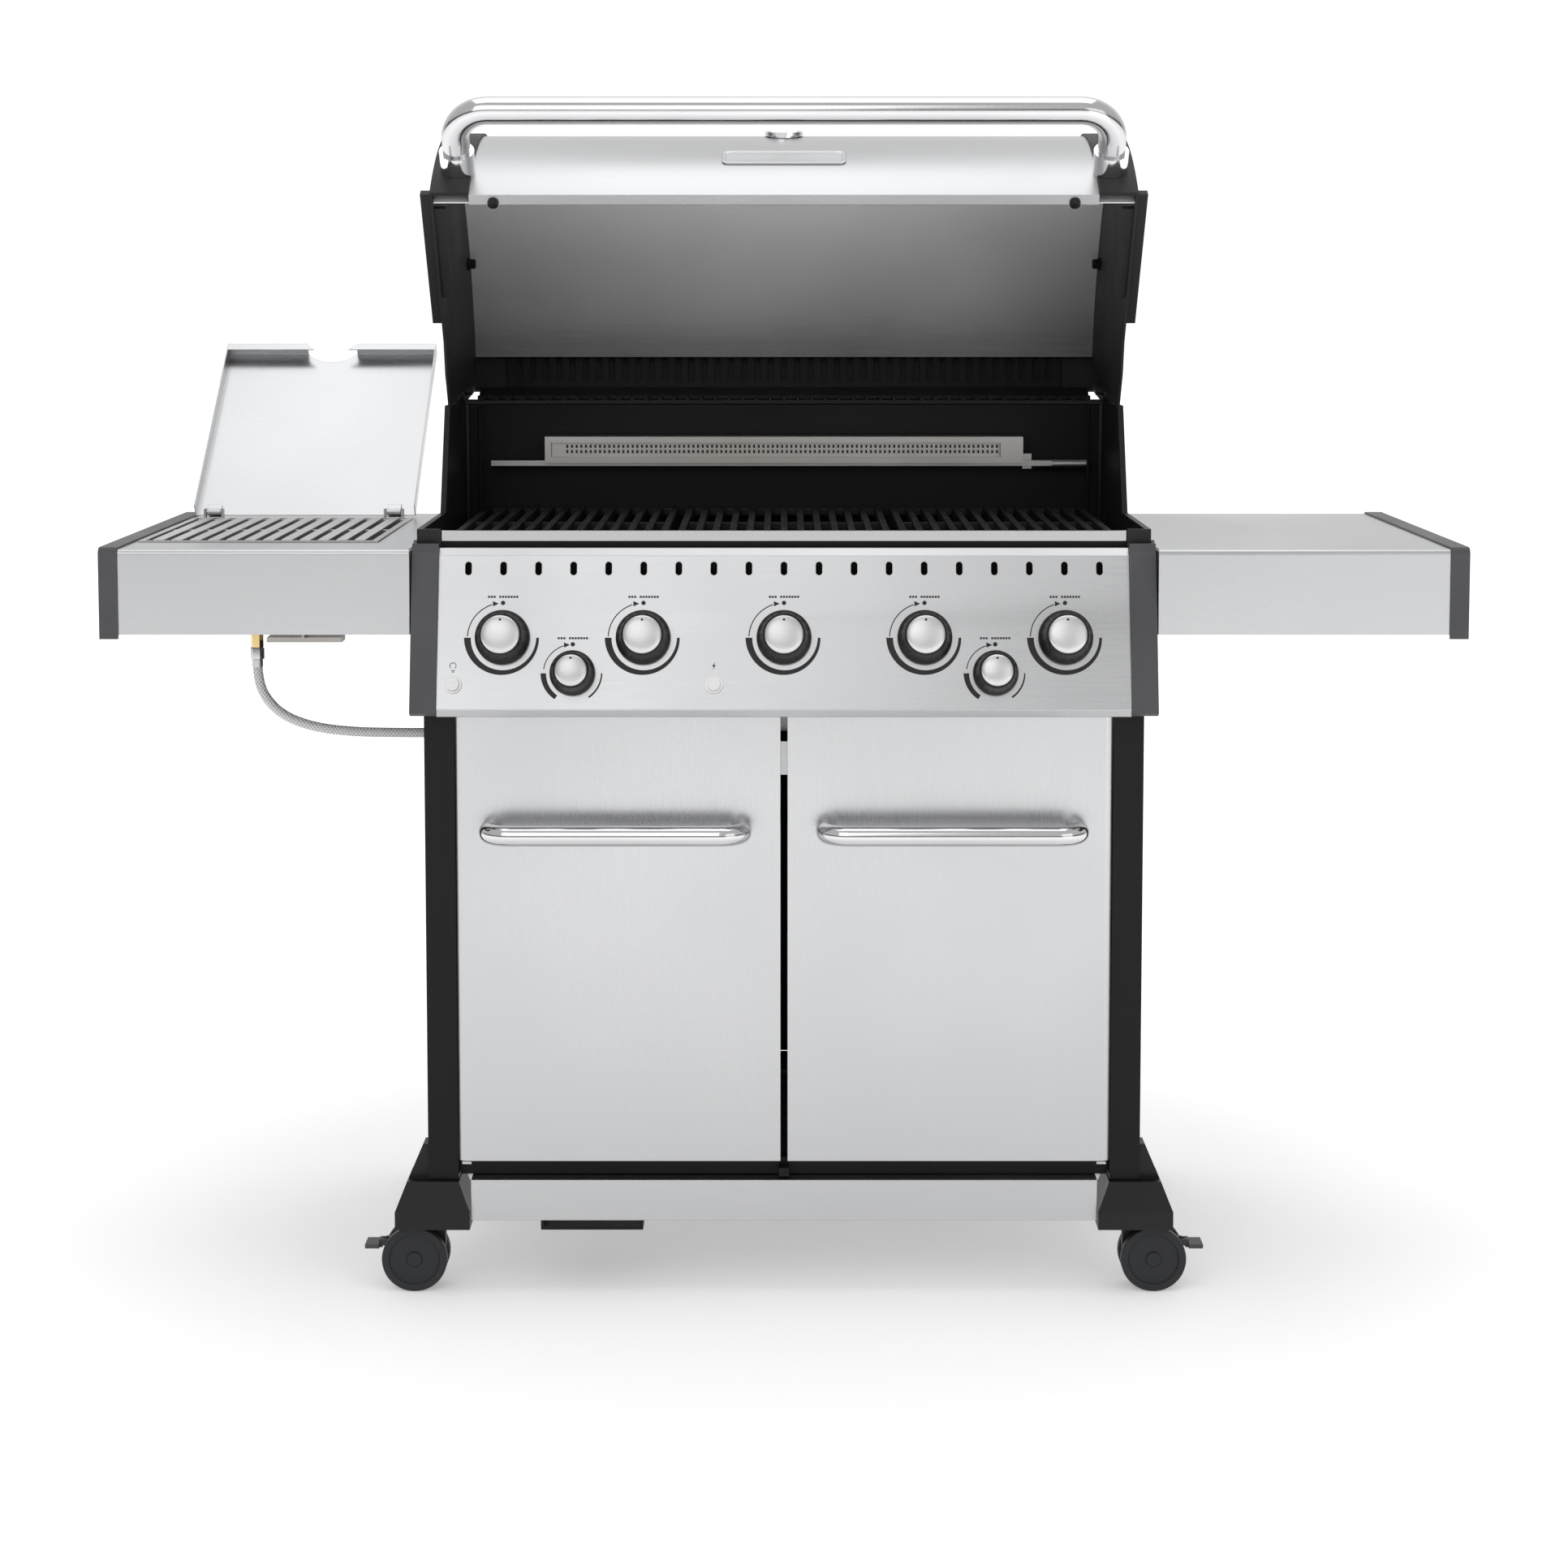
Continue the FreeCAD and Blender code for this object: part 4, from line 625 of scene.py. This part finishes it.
def make_dial(name, small):
    """Printed flame scale round a knob: a band that thins from high to low, and a thin lead-in arc."""
    ring = knob_radius(name) + (7.5 if small else 9) * MM
    lift = INK_LIFT
    spot = joints[name + "_turn"]["pos_m"]
    flat = on_panel(spot[0], spot)
    bands = []
    if small:
        bands.append(arc_band(ring, ring, 6.5 * MM, 5.5 * MM, 180, 236, lift))
        bands.append(arc_band(ring, ring, 2.2 * MM, 1.6 * MM, 304, 360, lift))
        bands.append(arc_band(ring, ring, 1.1 * MM, 1.1 * MM, 108, 172, lift))
    else:
        bands.append(arc_band(ring, ring, 8.0 * MM, 3.2 * MM, 180, 360, lift, 80))
        bands.append(arc_band(ring, ring, 1.2 * MM, 1.2 * MM, 108, 178, lift))
    head = math.radians(103)
    tip = Vector((ring * math.cos(head), ring * math.sin(head), 0))
    arrow = [tip + Vector((x * MM, y * MM, 0)) for x, y in ((4.2, 0.2), (-2.8, 3.2), (-2.4, -3.0))]
    arrow = [v + Vector((0, 0, z)) for z in (0, lift) for v in arrow]
    bands.append((arrow, [[2, 1, 0], [3, 4, 5], [0, 1, 4, 3], [1, 2, 5, 4], [2, 0, 3, 5]]))
    dot = lathe([(0, 0), (2.6 * MM, 0), (2.6 * MM, lift), (0, lift)], 20)
    bands.append((moved(Matrix.Translation((0, ring, 0)), dot[0]), dot[1]))
    tick_low, tick_high = ring + 6.0 * MM, ring + 8.4 * MM
    for k in (-5, -4, -3, -1, 0, 1, 2, 3, 4, 5):      # plain ticks stand for the wording
        bands.append(slab((k * 3.3 - 1.25) * MM, (k * 3.3 + 1.25) * MM, tick_low, tick_high, 0, lift))
    verts, faces = merged(*bands)
    add_piece(name + "_dial", moved(flat, verts), faces, "ink_and_shade", "cart", smooth=False)


def make_buttons():
    for name, icon in (("igniter_button", "spark"), ("light_button", "lamp")):
        joint = joints[name + "_press"]
        low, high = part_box(name)
        outward = -Vector(joint["axis"])
        centre = (low + high) / 2
        place = axes_frame(centre, outward)
        reach = 10.4 * MM
        cap = lathe([
            (7.4 * MM, reach - 4 * MM), (7.4 * MM, reach - 0.6 * MM), (6.8 * MM, reach), (5.6 * MM, reach),
            (5.2 * MM, reach - 0.5 * MM), (2.5 * MM, reach - 0.1 * MM), (0, reach),
        ], 40)
        add_piece(name + "_cap", moved(place, cap[0]), cap[1], "knob_face", name)
        ring = lathe([
            (8.3 * MM, 3.0 * MM), (10.6 * MM, 2.2 * MM), (10.6 * MM, 3.0 * MM), (9.4 * MM, 4.4 * MM),
            (8.4 * MM, 4.6 * MM), (8.3 * MM, 3.0 * MM),
        ], 48)
        add_piece(name + "_ring", moved(place, ring[0]), ring[1], "stainless", "cart")
        # painted shade: dark arcs laid on the ring stand for the shade inside its notches
        notches = [
            arc_band(9.9 * MM, 9.9 * MM, 1.7 * MM, 1.7 * MM, start, start + 38, 0.5 * MM, 8)
            for start in (26, 116, 206, 296)
        ]
        dark = merged(*notches)
        on_ring = place @ Matrix.Translation((0, 0, 4.0 * MM))
        add_piece(name + "_notches", moved(on_ring, dark[0]), dark[1], "ink_and_shade", "cart", smooth=False)
        marks = []
        lift = INK_LIFT
        up = 22 * MM
        if icon == "lamp":
            marks.append(arc_band(3.6 * MM, 3.6 * MM, 0.8 * MM, 0.8 * MM, -50, 230, lift))
            marks.append(slab(-2.0 * MM, 2.0 * MM, -6.0 * MM, -5.1 * MM, 0, lift))
            marks.append(slab(-1.5 * MM, 1.5 * MM, -7.6 * MM, -6.8 * MM, 0, lift))
        else:
            zig = [(1.6, 5), (-2.2, -0.6), (0.1, -0.6), (-1.5, -5), (2.4, 0.9), (0.2, 0.9)]
            verts = [Vector((x * MM, y * MM, z)) for z in (0, lift) for x, y in zig]
            count = len(zig)
            sides = [[i, (i + 1) % count, (i + 1) % count + count, i + count] for i in range(count)]
            marks.append((verts, [list(range(count)), list(range(count, 2 * count))] + sides))
        verts, faces = merged(*marks)
        flat = on_panel(centre.x, centre) @ Matrix.Translation((0, up, 0))
        add_piece(name + "_icon", moved(flat, verts), faces, "ink_and_shade", "cart", smooth=False)


# ---------------------------------------------------------------- fasteners and small trim
def pan_screw(name, spot, axis, radius, slot, body):
    """A pan-head screw with a washer, its head domed and crossed by a driver slot, which is a dark cross laid on
    the dome: painted shade.
    """
    place = axes_frame(spot, axis, (0, 0, 1) if abs(Vector(axis).z) < 0.9 else (0, 1, 0))
    head = lathe([
        (radius * 1.5, 0), (radius * 1.5, radius * 0.22), (radius * 1.02, radius * 0.26),
        (radius, radius * 0.55), (radius * 0.82, radius * 0.78), (radius * 0.5, radius * 0.9),
        (0, radius * 0.94),
    ], 28)
    # painted shade: the driver slot is a dark cross laid over the dome, not cut into it
    long, wide = radius * 0.6, radius * 0.11
    cross = [
        slab(-long, long, -wide, wide, radius * 0.80, radius * 0.955),
        slab(-wide, wide, -long, long, radius * 0.80, radius * 0.95),
    ]
    add_piece(name, moved(place, head[0]), head[1], slot, body)
    verts, faces = merged(*cross)
    add_piece(name + "_drive", moved(place, verts), faces, "ink_and_shade", body, smooth=False)


def side_letter(side):
    return "l" if side < 0 else "r"


def make_fasteners():
    """Screws in the cabinet's panels and under the side shelves."""
    panel_screw = 4.2 * MM
    shelf_screw = 4.6 * MM
    low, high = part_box("cabinet_panels")
    for side, x in ((-1, low.x), (1, high.x)):
        for row, z in enumerate((0.18, 0.43, 0.68)):
            for column, y in enumerate((-0.255, 0.14)):
                name = f"side_screw_{side_letter(side)}_{row}_{column}"
                pan_screw(name, (x, y, z), (side, 0, 0), panel_screw, "zinc", "cart")
    for column in range(4):
        for row, z in enumerate((0.185, 0.615)):
            spot = ((column - 1.5) * 0.24, high.y, z)
            pan_screw(f"back_screw_{row}_{column}", spot, (0, 1, 0), panel_screw, "zinc", "cart")
    shelf_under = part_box("shelf_right")[0].z
    for side in (-1, 1):
        for row, y in enumerate((-0.27, 0.10)):
            name = f"shelf_screw_{side_letter(side)}_{row}"
            pan_screw(name, (side * 0.513, y, shelf_under), (0, 0, -1), shelf_screw, "zinc", "cart")


def in_metres(profile):
    """A profile given in millimetres, in metres."""
    return [(radius * MM, height * MM) for radius, height in profile]


def make_hose_fittings():
    """Brass hexagon and grey swivel nut under the left shelf, and the bushing at the cabinet's side."""
    x, top_z = HOSE_ROUTE[0]
    end_x, end_z = HOSE_ROUTE[-1]
    top = Matrix.Translation((x, HOSE_Y, top_z))
    body = lathe(in_metres([(7.4, 15.6), (7.6, 17), (7.6, 34), (6.0, 36), (6.0, 50)]), 6)
    piece = add_piece("inlet_hexagon", moved(top, body[0]), body[1], "brass", "cart", angle=20)
    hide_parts("hose_fittings")
    nut = lathe(in_metres([(6.2, 0), (8.3, 1.0), (8.5, 2), (8.5, 13.6), (8.1, 14.8), (6.0, 15.8)]), 6)
    add_piece("hose_nut", moved(top, nut[0]), nut[1], "zinc", "cart", angle=20)
    ferrule = lathe(in_metres([(6.1, -9), (6.8, -8.4), (6.8, 0.5), (6.2, 1)]), 32)
    add_piece("hose_ferrule", moved(top, ferrule[0]), ferrule[1], "zinc", "cart")
    side = axes_frame((end_x, HOSE_Y, end_z), (1, 0, 0), (0, 0, 1))
    bush = lathe(in_metres([
        (6.1, -6), (6.9, -5), (6.9, 0), (8.9, 0.4), (8.9, 11.4), (6, 12), (5.9, 31), (0, 31),
    ]), 32)
    add_piece("cabinet_bushing", moved(side, bush[0]), bush[1], "zinc", "cart")


def first_surface(name, start, direction):
    """Where a ray first meets a CAD node, and the node's normal there."""
    hit, spot, normal, _ = nodes[name].ray_cast(Vector(start), Vector(direction))
    if not hit:
        raise RuntimeError(f"no surface of {name} from {tuple(start)}")
    return spot, normal


def rounded_plate(half_wide, half_tall, radius, thick, raised):
    """A plate with round corners and a softly raised rim, flat on its back."""
    outline = []
    for cx, cy, start in ((1, 1, 0), (-1, 1, 90), (-1, -1, 180), (1, -1, 270)):
        for k in range(9):
            turn = math.radians(start + k * 90 / 8)
            x = cx * (half_wide - radius) + radius * math.cos(turn)
            y = cy * (half_tall - radius) + radius * math.sin(turn)
            outline.append((x, y))
    count, verts, faces = len(outline), [], []
    levels = ((1.0, 0.0), (1.0, thick * 0.7), (0.985, thick), (0.95, thick), (0.93, thick - raised))
    for scale, height in levels:
        inset = (1 - scale) * half_wide
        for x, y in outline:
            verts.append(Vector((x * (1 - inset / half_wide), y * (1 - inset / half_tall), height)))
    for level in range(len(levels) - 1):
        below, above = level * count, (level + 1) * count
        for k in range(count):
            n = (k + 1) % count
            faces.append([below + k, below + n, above + n, above + k])
    faces.append(list(range((len(levels) - 1) * count, len(levels) * count)))
    return verts, faces


def make_rear_burner_trim():
    """Two rows of dark ports in the rear burner's face, drawn as thin dark slabs on the face: painted shade
    standing for the holes.
    """
    pitch, row_pitch = 6.2 * MM, 7 * MM
    wide, tall = 2.6 * MM, 4 * MM
    low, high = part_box("rear_burner")
    front, _ = first_surface("rear_burner", (0.0, -0.5, (low.z + high.z) / 2 + 4 * MM), (0, 1, 0))
    y0, y1 = front.y - 0.6 * MM, front.y - 0.1 * MM
    # painted shade: each port is a dark slab on the face, not a hole
    ports = []
    for k in range(96):
        x = low.x + 0.1 + k * pitch
        for row in range(2):
            z = high.z - 22 * MM + row * row_pitch
            ports.append(slab(x, x + wide, y0, y1, z, z + tall))
    verts, faces = merged(*ports)
    add_piece("rear_burner_ports", verts, faces, "ink_and_shade", "cart", smooth=False)


def make_badge():
    """A blank plate with round corners on the lid's skin."""
    badge_z = 1.353
    spot, normal = first_surface("lid_skin", (0.0, -2.0, badge_z), (0, 1, 0))
    if normal.y > 0:
        normal = -normal
    verts, faces = rounded_plate(75 * MM, 20 * MM, 8 * MM, 2.4 * MM, 1.0 * MM)
    flat = axes_frame(spot - normal * 0.2 * MM, normal)
    add_piece("badge_plate", moved(flat, verts), faces, "stainless", "lid", angle=25)


def make_lid_trim():
    """Rubber bumpers at the lid's lip, bolts in its end walls, and the badge."""
    bumper_x = 0.3455
    lip_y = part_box("lid_skin")[0].y + 6 * MM
    pivot = Vector(joints["lid_hinge"]["pos_m"])
    bumper = lathe(in_metres([(0, 0), (5.2, 0), (6.6, 2), (6.8, 8), (5.8, 11), (0, 12)]), 28)
    bolt = lathe(in_metres([(0, 0), (9.6, 0), (9.6, 3), (7.4, 3.4), (7.2, 9), (5.6, 10.4), (0, 10.6)]), 6)
    for side in (-1, 1):
        lip, _ = first_surface("lid_skin", (side * bumper_x, lip_y, 0.9), (0, 0, 1))
        down = axes_frame(lip + Vector((0, 4 * MM, 4 * MM)), (0, -0.6, -0.8))
        name = "lid_bumper_" + side_letter(side)
        add_piece(name, moved(down, bumper[0]), bumper[1], "black_plastic", "lid")
        wall, _ = first_surface("lid_end_caps", (side * 0.30, pivot.y + 0.044, pivot.z + 0.166), (side, 0, 0))
        inward = axes_frame(wall, (-side, 0, 0))
        name = "cap_bolt_" + side_letter(side)
        add_piece(name, moved(inward, bolt[0]), bolt[1], "black_enamel", "lid", angle=25)
    make_badge()


make_camera()
make_hose()
make_hose_fittings()
make_lid_trim()
make_rear_burner_trim()
make_studio()
dress_cad_nodes()
for knob in LARGE_KNOBS + SMALL_KNOBS:
    make_knob(knob)
    make_dial(knob, knob in SMALL_KNOBS)
make_buttons()
make_fasteners()
